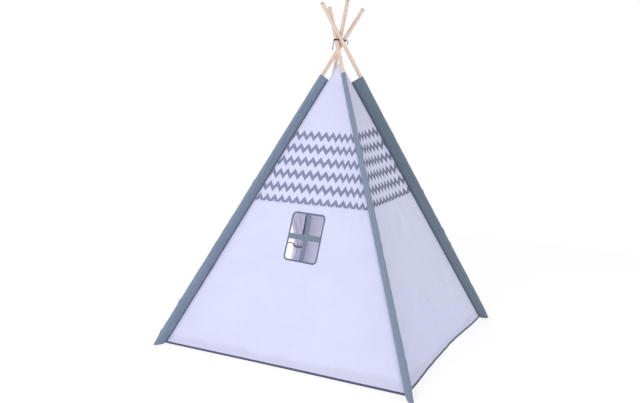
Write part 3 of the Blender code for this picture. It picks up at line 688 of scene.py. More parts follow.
def hang(wall, u, z):
    """How far a wall's cloth stands out of its plane."""
    seed = WALL_SEEDS[wall]
    reach = half_width(z)
    side_fade = smoothstep((reach - np.abs(u)) / SIDE_FADE)
    top_fade = smoothstep((APEX - TOP_FLAT - z) / TOP_FADE)
    ripples = 0.32 * waves(u, z, seed + 1, RIPPLE_SIZE)
    depth = WALL_WAVES[wall] * (waves(u, z, seed, WAVE_SIZE) + ripples)
    for fold in WALL_FOLDS[wall]:
        depth = depth + ridge(u, z, *fold)
    over = z - seam_line(wall, u / reach)
    below, above = np.clip(-over / GATHER_REACH[0], 0, 1), np.clip(over / GATHER_REACH[1], 0, 1)
    gathers = waves(u, 0.22 * z, seed + 2, GATHER_SIZE)
    gathers = gathers * (np.sin(math.pi * below**0.6) + 0.5 * np.sin(math.pi * above))
    pinch = np.exp(-((over / PINCH_WIDTH) ** 2))
    depth = (depth + WALL_GATHERS[wall] * gathers) * (1 - 0.5 * pinch) - PINCH_DEPTH * pinch
    return depth * side_fade * top_fade


def hem_rise(wall, u):
    return HEM_RISE[wall] * np.cos(math.pi / 2 * np.clip(np.abs(u) / WALL_FOOT, 0, 1)) ** 2


# The window's rounded outline
WINDOW_CENTRE = (0.0165, 0.505)
WINDOW_HALF = (0.0828, 0.1015)
WINDOW_RADIUS = 0.020
WINDOW_LEAN = math.radians(-2.1)
# How far the window's sides lean out of square: sideways going up, and up going sideways
WINDOW_SKEW = (-0.042, -0.022)
BINDING_WIDTH = 0.0065
WINDOW_STEPS = 480


def window_axes():
    """The window's own two axes, as columns over u and z."""
    cos, sin = math.cos(WINDOW_LEAN), math.sin(WINDOW_LEAN)
    return np.array(((cos, WINDOW_SKEW[0] - sin), (sin + WINDOW_SKEW[1], cos)))


def window_local(u, z):
    """Points in the window's own axes."""
    (a, b), (c, d) = np.linalg.inv(window_axes())
    over, up = u - WINDOW_CENTRE[0], z - WINDOW_CENTRE[1]
    return a * over + b * up, c * over + d * up


def window_world(x, y):
    (a, b), (c, d) = window_axes()
    return WINDOW_CENTRE[0] + a * x + b * y, WINDOW_CENTRE[1] + c * x + d * y


def window_distance(u, z, margin):
    """Distance outside the window's outline, negative inside it."""
    x, y = window_local(u, z)
    radius = WINDOW_RADIUS + margin
    past_x = np.abs(x) - (WINDOW_HALF[0] + margin - radius)
    past_y = np.abs(y) - (WINDOW_HALF[1] + margin - radius)
    outside = np.hypot(np.maximum(past_x, 0), np.maximum(past_y, 0))
    return outside + np.minimum(np.maximum(past_x, past_y), 0) - radius


def to_window_edge(u, z, margin):
    """Moves points onto the window's outline, grown by a margin, by short steps."""
    step = 1e-5
    for _ in range(4):
        gap = window_distance(u, z, margin)
        slope_u = (window_distance(u + step, z, margin) - gap) / step
        slope_z = (window_distance(u, z + step, margin) - gap) / step
        u, z = u - gap * slope_u, z - gap * slope_z
    return u, z


# Walls

PANEL_COLUMNS = 84
PANEL_ROWS = 96
BAND_COLUMNS = 46
BAND_ROWS = 96
# The window wall's zigzags stand closer from this far before the front corner on
TURN_REACH = 0.10
TURN_SHARE = 0.19
TURN_BLEND = 0.03
# The side wall's print coordinate as a share of u, and how that falls towards the right corner
SIDE_PRINT = (0.88, -0.15)
PRINT_SHIFTS = {"window": 0.0055, "side": 0.0295}
PEAK_ROWS = 16
PEAK_INSET = 0.0004
BAND_FOOT_GAP = 0.0004
HEM_POINTS = 110
HEM_THICKNESS = 0.0034
BINDING_THICKNESS = 0.0036
BINDING_LAP = 0.0006
TAPE_SIDES = 10
# Below 1 these make a tape's rounded outline squarer, across it and through it
TAPE_POWERS = (0.55, 0.75)


def half_shares(wall, corner, columns):
    """Shares across a half wall, from its crease to its corner."""
    return corner_side(wall, corner) * np.linspace(0, 1, columns)[None, :]


def half_grid(across, low, high, rows, edge=seam_u):
    """u and z at shares across a half wall, between two heights or lines."""
    up = np.linspace(0, 1, rows)[:, None]
    z = low + (high - low) * up + 0 * across
    return across * edge(z), z


def seam_marks(wall, u, z):
    """Distances inwards from the corner seam and upwards from the band seam."""
    return np.stack([seam_u(z) - np.abs(u), z - seam_line(wall, u / half_width(z))], axis=-1)


def grid_corners(cells):
    """The points of a grid that touch any of the chosen cells."""
    touched = np.zeros((cells.shape[0] + 1, cells.shape[1] + 1), bool)
    for rows in (slice(0, -1), slice(1, None)):
        for columns in (slice(0, -1), slice(1, None)):
            touched[rows, columns] |= cells
    return touched


def cut_window(u, z):
    """Moves the points round the window onto its outline, and says which cells are left."""
    margin = -BINDING_WIDTH / 2
    inside = window_distance(u, z, margin) < 0
    cut = inside[:-1, :-1] & inside[1:, :-1] & inside[:-1, 1:] & inside[1:, 1:]
    rim = grid_corners(cut) & grid_corners(~cut)
    moved_u, moved_z = to_window_edge(u[rim], z[rim], margin)
    u, z = u.copy(), z.copy()
    u[rim] = np.where(np.abs(u[rim]) < CREASE_GAP, u[rim], moved_u)
    z[rim] = moved_z
    return u, z, ~cut


def make_panel(wall, corner):
    """The plain lower part of a half wall, and what is sewn to it."""
    across = half_shares(wall, corner, PANEL_COLUMNS)
    foot = HEM_FLOOR_GAP + HEM_HEIGHT * 0.6 + hem_rise(wall, across * seam_u(0.0))
    u, z = half_grid(across, foot, seam_line(wall, across), PANEL_ROWS)
    keep = None
    if wall == "window":
        u, z, keep = cut_window(u, z)
    middle = wall_point(wall, u, z, hang(wall, u, z))
    node = f"{wall}_panel_{corner}"
    marks, seams = np.stack([u, z], axis=-1), seam_marks(wall, u, z)
    panel = cloth_grid(f"{node}_cloth", middle, marks, seams, MATERIALS["canvas"], keep=keep)
    dress(panel, f"{wall}_half_{corner}", node)
    sewn_on = [make_hem(wall, corner)]
    if wall == "window":
        sewn_on += [make_binding(corner), *make_straps(corner)]
    declare_sheet(middle, sewn_on)


def print_marks(wall, u, z):
    """Where the print's own coordinates lie: its rows follow the band seam, and its zigzags
    stand closer where the cloth turns round the front corner."""
    reach = half_width(z)
    v = z + BAND_SEAM - seam_line(wall, u / reach)
    if wall == "window":
        near = u - (reach - TURN_REACH)
        u = u + TURN_SHARE * (near + np.sqrt(near**2 + TURN_BLEND**2)) + PRINT_SHIFTS[wall]
    elif wall == "side":
        u = SIDE_PRINT[0] * u + SIDE_PRINT[1] * u**2 / reach + PRINT_SHIFTS[wall]
    return np.stack([u, v], axis=-1)


def corner_u(z):
    return half_width(z) - PEAK_INSET


def make_band(wall, corner):
    """The printed upper part of a half wall, and the plain tip above the sleeves."""
    across = half_shares(wall, corner, BAND_COLUMNS)
    foot = seam_line(wall, across) + BAND_FOOT_GAP
    # Painted shade: the side and rear walls take the darker copy of the print
    ink = "shaded_print" if wall in ("side", "rear") else "print"
    for part, low, high, rows, edge, material, slot, node in (
        ("band", foot, SLEEVE_TOP, BAND_ROWS, seam_u, ink, "print_cloth", f"{wall}_band_{corner}"),
        ("peak", SLEEVE_TOP, PEAK_TOP, PEAK_ROWS, corner_u, "canvas", "canvas", "cover_peak"),
    ):
        u, z = half_grid(across, low, high, rows, edge)
        middle = wall_point(wall, u, z, hang(wall, u, z))
        marks, seams = print_marks(wall, u, z), seam_marks(wall, u, z)
        name = f"{wall}_{part}_{corner}_cloth"
        piece = cloth_grid(name, middle, marks, seams, MATERIALS[material])
        dress(piece, f"{wall}_half_{corner}", node)
        declare_sheet(middle)


def sideways(line):
    """Unit steps square to a line in a plane, to its left."""
    heading = unit(np.gradient(line, axis=0))
    return np.stack([-heading[:, 1], heading[:, 0]], axis=-1)


def tape_rings(wall, u, z, width, thickness):
    """Rings of a flat tape with rounded edges, centred on a line in a wall."""
    line = np.stack([u, z], axis=-1)
    side = sideways(line)
    rings = []
    for k in range(TAPE_SIDES):
        cos, sin = math.cos(math.tau * k / TAPE_SIDES), math.sin(math.tau * k / TAPE_SIDES)
        over = np.sign(cos) * abs(cos) ** TAPE_POWERS[0] * width / 2
        rise = np.sign(sin) * abs(sin) ** TAPE_POWERS[1] * thickness / 2
        place_u, place_z = (line + side * over).T
        rings.append(wall_point(wall, place_u, place_z, hang(wall, place_u, place_z) + rise))
    return np.stack(rings, axis=1)


def make_hem(wall, corner):
    u = np.linspace(CREASE_GAP / 2, seam_u(0.0), HEM_POINTS)
    z = HEM_FLOOR_GAP + HEM_HEIGHT / 2 + hem_rise(wall, u)
    rings = tape_rings(wall, corner_side(wall, corner) * u, z, HEM_HEIGHT, HEM_THICKNESS)
    node = f"{wall}_hem_{corner}"
    hem = skin(f"{node}_tape", rings, MATERIALS["hem"])
    return dress(hem, f"{wall}_half_{corner}", node)


def window_loop(margin):
    """Points round the window's outline, anticlockwise from its lowest middle."""
    radius = WINDOW_RADIUS + margin
    half_x, half_y = WINDOW_HALF[0] + margin, WINDOW_HALF[1] + margin
    points = []
    for quarter, (sign_x, sign_y) in enumerate(((1, -1), (1, 1), (-1, 1), (-1, -1))):
        for step in range(25):
            angle = math.pi / 2 * (quarter - 1 + step / 24)
            x = sign_x * (half_x - radius) + radius * math.cos(angle)
            points.append((x, sign_y * (half_y - radius) + radius * math.sin(angle)))
    loop = np.array([(0, -half_y), *points, (0, -half_y)])
    run = lengths_along(loop)
    wanted = np.linspace(0, run[-1], WINDOW_STEPS)
    x, y = (np.interp(wanted, run, loop[:, axis]) for axis in range(2))
    return window_world(x, y)


def make_binding(corner):
    """The half of the window's binding that lies on one side of the crease."""
    side = corner_side("window", corner)
    u, z = window_loop(-BINDING_WIDTH / 2)
    here = side * u > CREASE_GAP / 2
    start = int(np.argmax(here & ~np.roll(here, 1)))
    order = np.roll(np.arange(len(u)), -start)[: here.sum()]
    u, z = u[order], z[order]
    u[[0, -1]] = side * CREASE_GAP / 2
    rings = tape_rings("window", u, z, BINDING_WIDTH + BINDING_LAP, BINDING_THICKNESS)
    node = f"window_binding_{corner}"
    binding = skin(f"{node}_tape", rings, MATERIALS["binding"])
    return dress(binding, f"window_half_{corner}", node)


STRAP_WIDTH = 0.020
LEVEL_STRAP_WIDTH = 0.0222
UPRIGHT_STRAP = ((0.0152, 0.603), (0.0222, 0.407))
# How far the upright strap bends sideways at its middle
UPRIGHT_BOW = 0.0038
LEVEL_STRAP = ((-0.0600, 0.508), (0.0940, 0.501))
STRAP_LIFT = 0.0008
STRAP_STATIONS = 60
STRAP_POINTS = 13


def flat_profile(count):
    """Shares across a flat tape, along its upper face and back under it."""
    upper = [(over, 1) for over in np.linspace(-1, 1, count)]
    return upper + [(over, -1) for over in np.linspace(1, -1, count)]


def strap_rings(start, end, offset, bow, width):
    """Rings of a strap between two points of the window wall, and its distances across."""
    share = np.linspace(0, 1, STRAP_STATIONS)
    u = start[0] + (end[0] - start[0]) * share + bow * 4 * share * (1 - share)
    z = start[1] + (end[1] - start[1]) * share
    line = np.stack([u, z], axis=-1)
    side = sideways(line)
    rings, around = [], []
    for over, face in flat_profile(STRAP_POINTS):
        place_u, place_z = (line + side * (over * width / 2)).T
        swell = 0.0008 + 0.0004 * math.sqrt(max(0.0, 1 - over**8))
        ripple = 0.0006 * np.sin(share * 19 + over * 1.7) * np.sin(math.pi * share)
        rings.append(wall_point("window", place_u, place_z, offset + face * swell + ripple))
        around.append((over + 1) * width / 2)
    return np.stack(rings, axis=1), np.array(around)[None, :]


def make_straps(corner):
    """The tapes over the window that are sewn to one half of its wall."""
    left, right = LEVEL_STRAP
    middle_z = left[1] - left[0] / (right[0] - left[0]) * (right[1] - left[1])
    near = CREASE_GAP / 2
    level = (STRAP_LIFT, 0.0, LEVEL_STRAP_WIDTH)
    if corner == "front":
        lines = (
            ("upright", "cross", *UPRIGHT_STRAP, -STRAP_LIFT, UPRIGHT_BOW, STRAP_WIDTH),
            ("level", "cross", (near, middle_z), right, *level),
        )
    else:
        lines = (("left", "left", left, (-near, middle_z), *level),)
    straps = []
    for name, node, *shape in lines:
        rings, around = strap_rings(*shape)
        strap = skin(f"window_strap_{name}_tape", rings, MATERIALS["strap"], around)
        strap = dress(strap, f"window_half_{corner}", f"window_strap_{node}")
        straps.append(strap)
    return straps


# Sleeves

SLEEVE_RADIUS = 0.0105
SLEEVE_SLACK = 0.0034
SLEEVE_BORE = 0.0093
SLEEVE_FLAT = 0.016
SLEEVE_SEAM_RISE = 0.012
SLEEVE_STATIONS = 150
SLEEVE_ARC = 25
SLEEVE_SIDE = 7
SLEEVE_HALF_TAIL = 0.0013
SLEEVE_PUFF = 0.0011
# How far up the pole the sleeve's bore begins
BORE_FOOT = 0.012
BORE_SHARES = (0.0, 0.02, 0.5, 1.0)
# A sleeve with more slack than this has its full folds lengthways
FOLD_SLACK = 0.0012
# Where a sleeve is creased across, as shares of its length, by corner
SLEEVE_KINKS = {
    "left": (0.045, 0.155, 0.595),
    "front": (0.10, 0.42, 0.77),
    "right": (0.33, 0.39, 0.555),
    "back": (0.08, 0.30, 0.66),
}
SLEEVE_SEEDS = {"left": 3, "front": 5, "right": 8, "back": 13}


def pole_station(corner, along):
    """A pole's point at a distance along it, how far its sleeve's sewn edge is from there, and
    the directions to that edge and square to it."""
    direction = pole_direction(corner)
    here = pole_foot(corner) + direction * along
    seam_foot = floor_point(corner, WALL_FOOT)
    seam = UP * APEX - seam_foot
    share = (here - seam_foot).dot(direction) / seam.dot(direction)
    tail = seam_foot + seam * share - here
    axis = unit(tail)
    return here, np.linalg.norm(tail), axis, np.cross(direction, axis)


def teardrop(length, radius):
    """Half of a sleeve's outline from the far side of the pole to its sewn edge."""
    slant = math.atan2(SLEEVE_HALF_TAIL, length)
    touch = slant + math.acos(radius / math.hypot(length, SLEEVE_HALF_TAIL))
    points = []
    for angle in np.linspace(math.pi, touch, SLEEVE_ARC // 2 + 1):
        points.append((radius * math.cos(angle), radius * math.sin(angle)))
    start = points[-1]
    for share in np.linspace(0, 1, SLEEVE_SIDE + 2)[1:]:
        x = start[0] + (length - start[0]) * share
        y = start[1] + (SLEEVE_HALF_TAIL - start[1]) * share
        points.append((x, y + SLEEVE_PUFF * math.sin(math.pi * share) ** 1.2))
    return np.array(points)


def sleeve_wrinkles(corner, along, end, angle, folded):
    """How far a sleeve's cloth stands out at one place along it, by the angle round the pole."""
    seed = SLEEVE_SEEDS[corner]
    wrinkle = 0.00050 * np.sin(along * 34 + 2 * angle + seed) * np.sin(along * 11 + seed)
    wrinkle += 0.00035 * np.sin(along * 95 + 3 * angle + 2 * seed) * np.sin(along * 7 - angle)
    wander = 0.5 * math.sin(along * 4.1 + seed) + 0.25 * math.sin(along * 13 + 2 * seed)
    wrinkle += 0.00065 * np.cos(5 * angle + wander) * folded
    for k, place in enumerate(SLEEVE_KINKS[corner]):
        past = along - place * end
        near = np.exp(-(((past - 0.006 * np.sin(angle + k)) / 0.010) ** 2))
        wrinkle += 0.0026 * near * (0.6 + 0.4 * np.cos(angle + math.pi))
        wrinkle -= 0.0010 * np.exp(-(((past - 0.017) / 0.009) ** 2))
    return np.maximum(wrinkle, -0.0007)


def sleeve_outside(corner, end):
    """Rings of a sleeve from its foot up, their distances from the sewn edge, and their girths."""
    rings, marks, girths = [], [], []
    for share in np.linspace(0, 1, SLEEVE_STATIONS) ** 1.06:
        along = share * end
        here, length, axis, across = pole_station(corner, along)
        slack = SLEEVE_SLACK * (1 - share) ** 0.7 * float(smoothstep(share / 0.05))
        half = teardrop(length, SLEEVE_RADIUS + slack)
        outline = np.vstack([half, half[-2:0:-1] * (1, -1)])
        run = lengths_along(half)
        girths.append(2 * run[-1])
        mark = run[-1] - run
        mark = np.concatenate([mark, mark[-2:0:-1]])
        angle = np.arctan2(outline[:, 1], outline[:, 0])
        wrinkle = sleeve_wrinkles(corner, along, end, angle, min(1, slack / FOLD_SLACK))
        fade = np.clip(mark / 0.010, 0, 1) * min(1, along / 0.03) * min(1, (end - along) / 0.02)
        grow = 1 + wrinkle * fade / np.maximum(np.linalg.norm(outline, axis=1), 1e-4)
        outline = outline * grow[:, None]
        rings.append(here + axis * outline[:, :1] + across * outline[:, 1:])
        marks.append(mark)
    return np.array(rings), np.array(marks), girths


def stood_on_floor(corner, rings):
    """A sleeve's rings with the lowest brought to the floor, a little above it at the seam."""
    direction = pole_direction(corner)
    seam_reach = (FOOT_HALF_SPACING - WALL_FOOT) * math.sqrt(2)
    rise = SLEEVE_SEAM_RISE / (seam_reach - SLEEVE_FLAT)
    inwards = (rings[0] - pole_foot(corner)) @ unit(floor_point(corner, -1.0))
    floor = np.maximum(0, rise * (inwards - SLEEVE_FLAT))
    lift = (floor - rings[0, :, 2]) / direction[2]
    shares = (1 - np.linspace(0, 1, SLEEVE_STATIONS)) ** 6
    rings = rings + direction * (lift[None, :, None] * shares[:, None, None])
    rings[:, :, 2] = np.maximum(rings[:, :, 2], floor)
    return rings


def sleeve_bore(corner, end, count):
    """Rings of the hole for the pole, from the sleeve's top down."""
    _, _, axis, across = pole_station(corner, end)
    turns = np.linspace(math.pi, -math.pi, count, endpoint=False)
    circle = np.stack([np.cos(turns), np.sin(turns)], axis=-1) * SLEEVE_BORE
    rings = []
    for share in BORE_SHARES:
        along = end * (1 - share) + BORE_FOOT * share
        centre = pole_foot(corner) + pole_direction(corner) * along
        rings.append(centre + axis * circle[:, :1] + across * circle[:, 1:])
    return np.array(rings)


def make_sleeve(corner):
    """Cloth sewn round a pole, with a foot closed at the floor and a bore for the pole."""
    end = SLEEVE_TOP / pole_direction(corner)[2]
    outside, marks, girths = sleeve_outside(corner, end)
    bore = sleeve_bore(corner, end, outside.shape[1])
    rings = np.concatenate([stood_on_floor(corner, outside), bore])
    marks = np.concatenate([marks, np.tile(marks[-1], (len(bore), 1))])
    # The right and back sleeves take the darker copy of the cloth: painted shade
    cloth = "shaded_sleeve" if corner in ("right", "back") else "sleeve"
    node = f"sleeve_{corner}"
    sleeve = skin(f"{node}_cloth", rings, MATERIALS[cloth], marks)
    dress(sleeve, f"pole_{corner}", node)
    make_allowance(corner)


# The corner seams' allowances, turned to one side inside
# The back one is made wide and dark to stand for the shade in the inner back corner: painted shade
ALLOWANCE_WIDTHS = {"back": 0.041, "left": 0.014, "front": 0.014, "right": 0.014}
ALLOWANCE_SIDES = {"back": "door", "left": "window", "front": "side", "right": "rear"}
ALLOWANCE_ENDS = (0.014, SLEEVE_TOP - 0.012)
ALLOWANCE_DEPTH = 0.0017
ALLOWANCE_THICKNESS = 0.0014


def make_allowance(corner):
    """The raw edges behind a corner seam, pressed against one wall's inner face."""
    wall = ALLOWANCE_SIDES[corner]
    z = np.linspace(*ALLOWANCE_ENDS, 150)[:, None]
    across = np.linspace(0, 1, 6)[None, :]
    seed = SLEEVE_SEEDS[corner]
    width = ALLOWANCE_WIDTHS[corner] * (1 + 0.04 * np.sin(z * 23 + seed))
    inset = SEAM_INSET * 0.4 + width * across
    u = corner_side(wall, corner) * (half_width(z) - inset)
    curl = 0.0008 * across**2 * (1 + np.sin(z * 61 + seed))
    depth = hang(wall, u, z) - ALLOWANCE_DEPTH - 0.0006 * across - curl
    middle = wall_point(wall, u, z, depth)
    marks = np.stack([z + 0 * across, 0.02 + inset], axis=-1)
    name = f"seam_allowance_{corner}_cloth"
    # The dark tape is the binding's own colour; on the back allowance it also stands for painted
    # shade
    piece = cloth_grid(name, middle, marks, marks, MATERIALS["hem"], ALLOWANCE_THICKNESS)
    return dress(piece, f"pole_{corner}")


# Doorway

TIE_HEIGHT = 0.330
TIE_WIDTH = 0.0085
TIE_GATHERED = 0.100
HEM_GATHERED = 0.165
GATHER_POWER = 1.15
SPREAD_POWER = 1.4
FADE_POWER = 0.8
CORNER_LIFT = 0.105
LIFT_POWER = 1.5
NECK = 0.012
CURTAIN_FOLDS = 4
FOLD_DEPTH = 0.021
HEM_FOLD_DEPTH = 0.015
TIE_CLEARANCE = 0.0015
TIE_SETBACK = 0.003
TIE_SLACK = 0.0008
TIE_REST = 0.0021
TIE_POINTS = 7
CURTAIN_COLUMNS = 190
CURTAIN_ROWS = 100
CURTAIN_TOP_GAP = 0.0002
# How far from the tie the folds are free to drift
FREE_REACH = 0.10
FLAT_WIDTH = 0.032
FLAT_FOOT = 0.352
TIE_TOP = TIE_HEIGHT + TIE_WIDTH / 2
TIE_FOOT = TIE_HEIGHT - TIE_WIDTH / 2
CURTAIN_SEEDS = {"back": 71, "left": 83}
CURTAIN_SHIFTS = {"back": 0.0, "left": 1.1}


def beyond_tie(z):
    """Shares of the way up from the tie to the band seam, and down from it to the floor."""
    above = np.clip((z - TIE_TOP) / (BAND_SEAM - TIE_TOP), 0, 1)
    return above, np.clip((TIE_FOOT - z) / TIE_FOOT, 0, 1)


def curtain_width(z):
    above, below = beyond_tie(z)
    full = seam_u(BAND_SEAM) - CREASE_GAP / 2
    gathered = (full - TIE_GATHERED) * above**GATHER_POWER
    return TIE_GATHERED + gathered + (HEM_GATHERED - TIE_GATHERED) * below**SPREAD_POWER


def curtain_depth(z):
    above, below = beyond_tie(z)
    high = FOLD_DEPTH * (1 - above) ** FADE_POWER
    low = FOLD_DEPTH + (HEM_FOLD_DEPTH - FOLD_DEPTH) * below
    return np.where(z >= TIE_FOOT, high, low)


def make_curtain(corner):
    side = corner_side("door", corner)
    seed = CURTAIN_SEEDS[corner]
    across = np.linspace(0, 1, CURTAIN_COLUMNS)[None, :]
    foot = HEM_FLOOR_GAP + CORNER_LIFT * across**LIFT_POWER
    down = np.linspace(0, 1, CURTAIN_ROWS)[:, None]
    z = BAND_SEAM - CURTAIN_TOP_GAP + (foot - BAND_SEAM) * down
    width = curtain_width(z)
    share = np.clip((width * across - NECK) / (width - NECK), 0, 1)
    lens = np.sqrt(np.clip(1 - (2 * share - 1) ** 2, 0, 1))
    free = smoothstep((np.abs(z - TIE_HEIGHT) - TIE_WIDTH) / FREE_REACH)
    drift = 0.055 * free * waves(share * 0.5, z, seed, 0.45)
    shift = CURTAIN_SHIFTS[corner] * free
    fold = np.sin(math.tau * CURTAIN_FOLDS * (share + drift * share * (1 - share) * 4) + shift)
    second = 0.16 * np.sin(math.tau * CURTAIN_FOLDS * 2 * share + 27 * z) * free
    swell = 1 + 0.20 * free * waves(share * 0.4, z, seed + 1, 0.30)
    depth = curtain_depth(z) * lens * (fold * swell + second)
    # Flat beside the corner above the tie, where the cloth isn't gathered yet
    beside = 1 - smoothstep((width * across - NECK - FLAT_WIDTH) / 0.045)
    depth = depth * (1 - smoothstep((z - FLAT_FOOT) / 0.05) * beside)
    u = side * (seam_u(z) - width * across)
    middle = wall_point("door", u, z, depth)
    flat_u = across * (seam_u(z) - CREASE_GAP)
    marks = np.stack([side * flat_u, z], axis=-1)
    seams = np.stack([flat_u[:, -1:] - flat_u, z - foot], axis=-1)
    node = f"door_curtain_{corner}"
    curtain = cloth_grid(f"{node}_cloth", middle, marks, seams, MATERIALS["canvas"])
    dress(curtain, f"door_half_{corner}", node)
    declare_sheet(middle, with_pieces=[make_tie(corner)])


def door_place(corner, distance, z, offset):
    side = corner_side("door", corner)
    return wall_point("door", side * (seam_u(z) - distance), z, offset)


def make_tie(corner):
    """A flat tape sewn to both faces at the seam and drawn round the gathered curtain."""
    start, end = NECK - TIE_SLACK, curtain_width(TIE_HEIGHT) + TIE_CLEARANCE + TIE_SLACK
    middle, reach = (start + end) / 2, (end - start) / 2
    line = [(TIE_SETBACK, TIE_REST)]
    for angle in np.linspace(0, math.pi, 40):
        swell = (FOLD_DEPTH + TIE_CLEARANCE) * math.sin(angle)
        line.append((middle - reach * math.cos(angle), TIE_REST + swell))
    line = np.array(line + [(x, -y) for x, y in line[::-1]])
    side = sideways(line)
    rings = []
    for over, face in flat_profile(TIE_POINTS):
        z = TIE_HEIGHT + over * TIE_WIDTH / 2
        away, depth = (line + side * face * (0.0007 - 0.0002 * abs(over))).T
        rings.append(door_place(corner, away, np.full(len(away), z), depth))
    node = f"door_tie_{corner}"
    tie = skin(f"{node}_tape", np.stack(rings, axis=1), MATERIALS["hem"])
    return dress(tie, f"door_half_{corner}", node)


# Cords

TIE_TAIL_DIAMETER = 0.0048
# Along the wall towards the doorway, upwards, and inwards, from the tie's free edge
TIE_TAIL_ROUTE = (
    (0, 0, 0),
    (0.0060, 0.0030, 0),
    (0.0190, 0.0160, 0.0010),
    (0.0430, 0.0300, 0.0030),
    (0.0700, 0.0350, 0.0020),
    (0.0840, 0.0330, 0.0010),
)
CORD_DIAMETER = 0.0036
LASHING_TURNS = 1.42
LASHING_PITCH = 0.0045
LASHING_HEIGHT = 1.3885
LASHING_CLEARANCE = 0.0001
# Away from the winding's end, sideways, and upwards
LOW_TAIL_ROUTE = (
    (0.006, 0, -0.003),
    (0.012, 0.000, -0.012),
    (0.015, 0.001, -0.026),
    (0.021, 0.002, -0.040),
)
HIGH_TAIL_ROUTE = (
    (0.010, 0, 0),
    (0.020, 0.000, -0.003),
    (0.029, 0.001, -0.009),
    (0.036, 0.002, -0.017),
)
FIT_GAP = 0.0003
CORD_SIDES = 14
CORD_END_SHARE = 0.72
WINDING_STEP = 0.0016
TAIL_STEP = 0.0015
WINDING_PULLS = 1200


def smooth_route(points, step):
    """Points at even steps along a Catmull-Rom curve through the route's own points."""
    route = [np.asarray(point, float) for point in points]
    route = [2 * route[0] - route[1], *route, 2 * route[-1] - route[-2]]
    fine = []
    for a, b, c, d in zip(route, route[1:], route[2:], route[3:]):
        for k in range(24):
            t = k / 24
            cubic = (-a + 3 * b - 3 * c + d) * t**3
            fine.append(0.5 * (2 * b + (c - a) * t + (2 * a - 5 * b + 4 * c - d) * t**2 + cubic))
    fine = np.array([*fine, route[-2]])
    run = lengths_along(fine)
    wanted = np.linspace(0, run[-1], max(3, round(run[-1] / step) + 1))
    return np.stack([np.interp(wanted, run, fine[:, axis]) for axis in range(3)], axis=-1)


def lay_cord(node, line, diameter, body, digits, **laid):
    """A round cord along a line, with rings that don't twist and smaller ones at its ends."""
    tangents = unit(np.gradient(line, axis=0))
    side = unit(np.cross(tangents[0], UP if abs(tangents[0][2]) < 0.9 else (1, 0, 0)))
    turns = np.linspace(0, math.tau, CORD_SIDES, endpoint=False)
    rings = []
    for k, (place, tangent) in enumerate(zip(line, tangents)):
        side = unit(side - tangent * side.dot(tangent))
        other = np.cross(tangent, side)
        reach = diameter / 2 * (CORD_END_SHARE if k in (0, len(line) - 1) else 1.0)
        around = np.cos(turns)[:, None] * side + np.sin(turns)[:, None] * other
        rings.append(place + reach * around)
    marks = np.broadcast_to(turns * diameter / 2, (len(line), CORD_SIDES))
    cord = skin(f"{node}_cord", rings, MATERIALS["cord"], marks)
    dress(cord, body, node)


def pole_flat(corner, z):
    """Where a pole's middle is at each height."""
    direction = pole_direction(corner)
    return pole_foot(corner)[:2] + direction[:2] * (z / direction[2])[:, None]


def push_out(flat, z, reach):
    """Moves points out of the leaning poles, each to a cord's half thickness from its wood."""
    for corner in CORNER_SIGNS:
        direction = pole_direction(corner)
        lean = unit(direction[:2])
        away = flat - pole_flat(corner, z)
        upright = away - lean * ((away @ lean) * (1 - direction[2]))[:, None]
        distance = np.linalg.norm(upright, axis=1, keepdims=True)
        flat = flat + away * (np.maximum(reach / distance, 1) - 1)
    return flat


def taut_winding():
    """The cord pulled tight round the left, back and front poles and behind the right one."""
    reach = (POLE_DIAMETER + CORD_DIAMETER) / 2 + LASHING_CLEARANCE
    turns = np.linspace(0, LASHING_TURNS, 64)
    z = LASHING_HEIGHT + LASHING_PITCH * turns
    left, front, right, back = (pole_flat(corner, z) for corner in CORNER_SIGNS)
    middle = (left + front + back) / 3
    start = front + np.array((0.469, -0.883)) * reach
    # Stations of one turn: a share of it, and a point there
    stations = (
        (0.00, start),
        (0.06, front + unit((1.352, -0.414)) * reach),
        (0.10, front + unit((0.742, 0.734)) * reach),
        (0.14, (front + right) / 2),
        (0.22, right + unit(middle - right) * reach),
        (0.30, (left + right) / 2),
        (0.36, left + unit((0.414, 1.352)) * reach),
        (0.45, left + unit(left - middle) * reach * 1.3),
        (0.62, back + unit(back - middle) * reach * 1.3),
        (0.72, back + unit((0.2, -1.0)) * reach * 1.1),
        (0.90, front + unit((-0.1, -1.0)) * reach * 1.1),
        (1.00, start),
    )
    flat = np.zeros((len(turns), 2))
    for (a, first), (b, second) in zip(stations, stations[1:]):
        share = (((turns % 1) - a) / (b - a))[:, None]
        flat = np.where((share >= 0) & (share < 1), first * (1 - share) + second * share, flat)
    for _ in range(WINDING_PULLS):
        flat[1:-1] = flat[1:-1] * 0.4 + 0.3 * (flat[:-2] + flat[2:])
        flat = push_out(flat, z, reach)
    return np.column_stack([flat, z])


def make_lashing():
    winding = smooth_route(taut_winding(), WINDING_STEP)
    laid = {"far_end": "object", "stiffness": "limp", "lay": "taut"}
    lay_cord("lashing", winding, CORD_DIAMETER, "crossing", 3, **laid)
    laid = {"far_end": "bare", "stiffness": "limp", "lay": "hanging"}
    for name, end, before, bends in (
        ("low", winding[0], winding[1], LOW_TAIL_ROUTE),
        ("high", winding[-1], winding[-2], HIGH_TAIL_ROUTE),
    ):
        away = unit(end - before)
        side = unit(np.cross(UP, away))
        start = end + away * 2 * FIT_GAP
        ways = np.array((away, side, UP))
        line = smooth_route([start, *(start + np.array(bend) @ ways for bend in bends)], TAIL_STEP)
        lay_cord(f"lashing_tail_{name}", line, CORD_DIAMETER, "crossing", 4, **laid)


def make_tie_tail(corner):
    start = curtain_width(TIE_HEIGHT) + TIE_CLEARANCE + 2 * TIE_SLACK + 2 * FIT_GAP
    route = []
    for run, rise, inward in TIE_TAIL_ROUTE:
        route.append(door_place(corner, start + run, TIE_HEIGHT + rise, -inward))
    laid = {"far_end": "bare", "stiffness": "medium", "lay": "loose"}
    node, line = f"door_tie_tail_{corner}", smooth_route(route, TAIL_STEP)
    lay_cord(node, line, TIE_TAIL_DIAMETER, f"door_half_{corner}", 4, **laid)


# Everything in its place

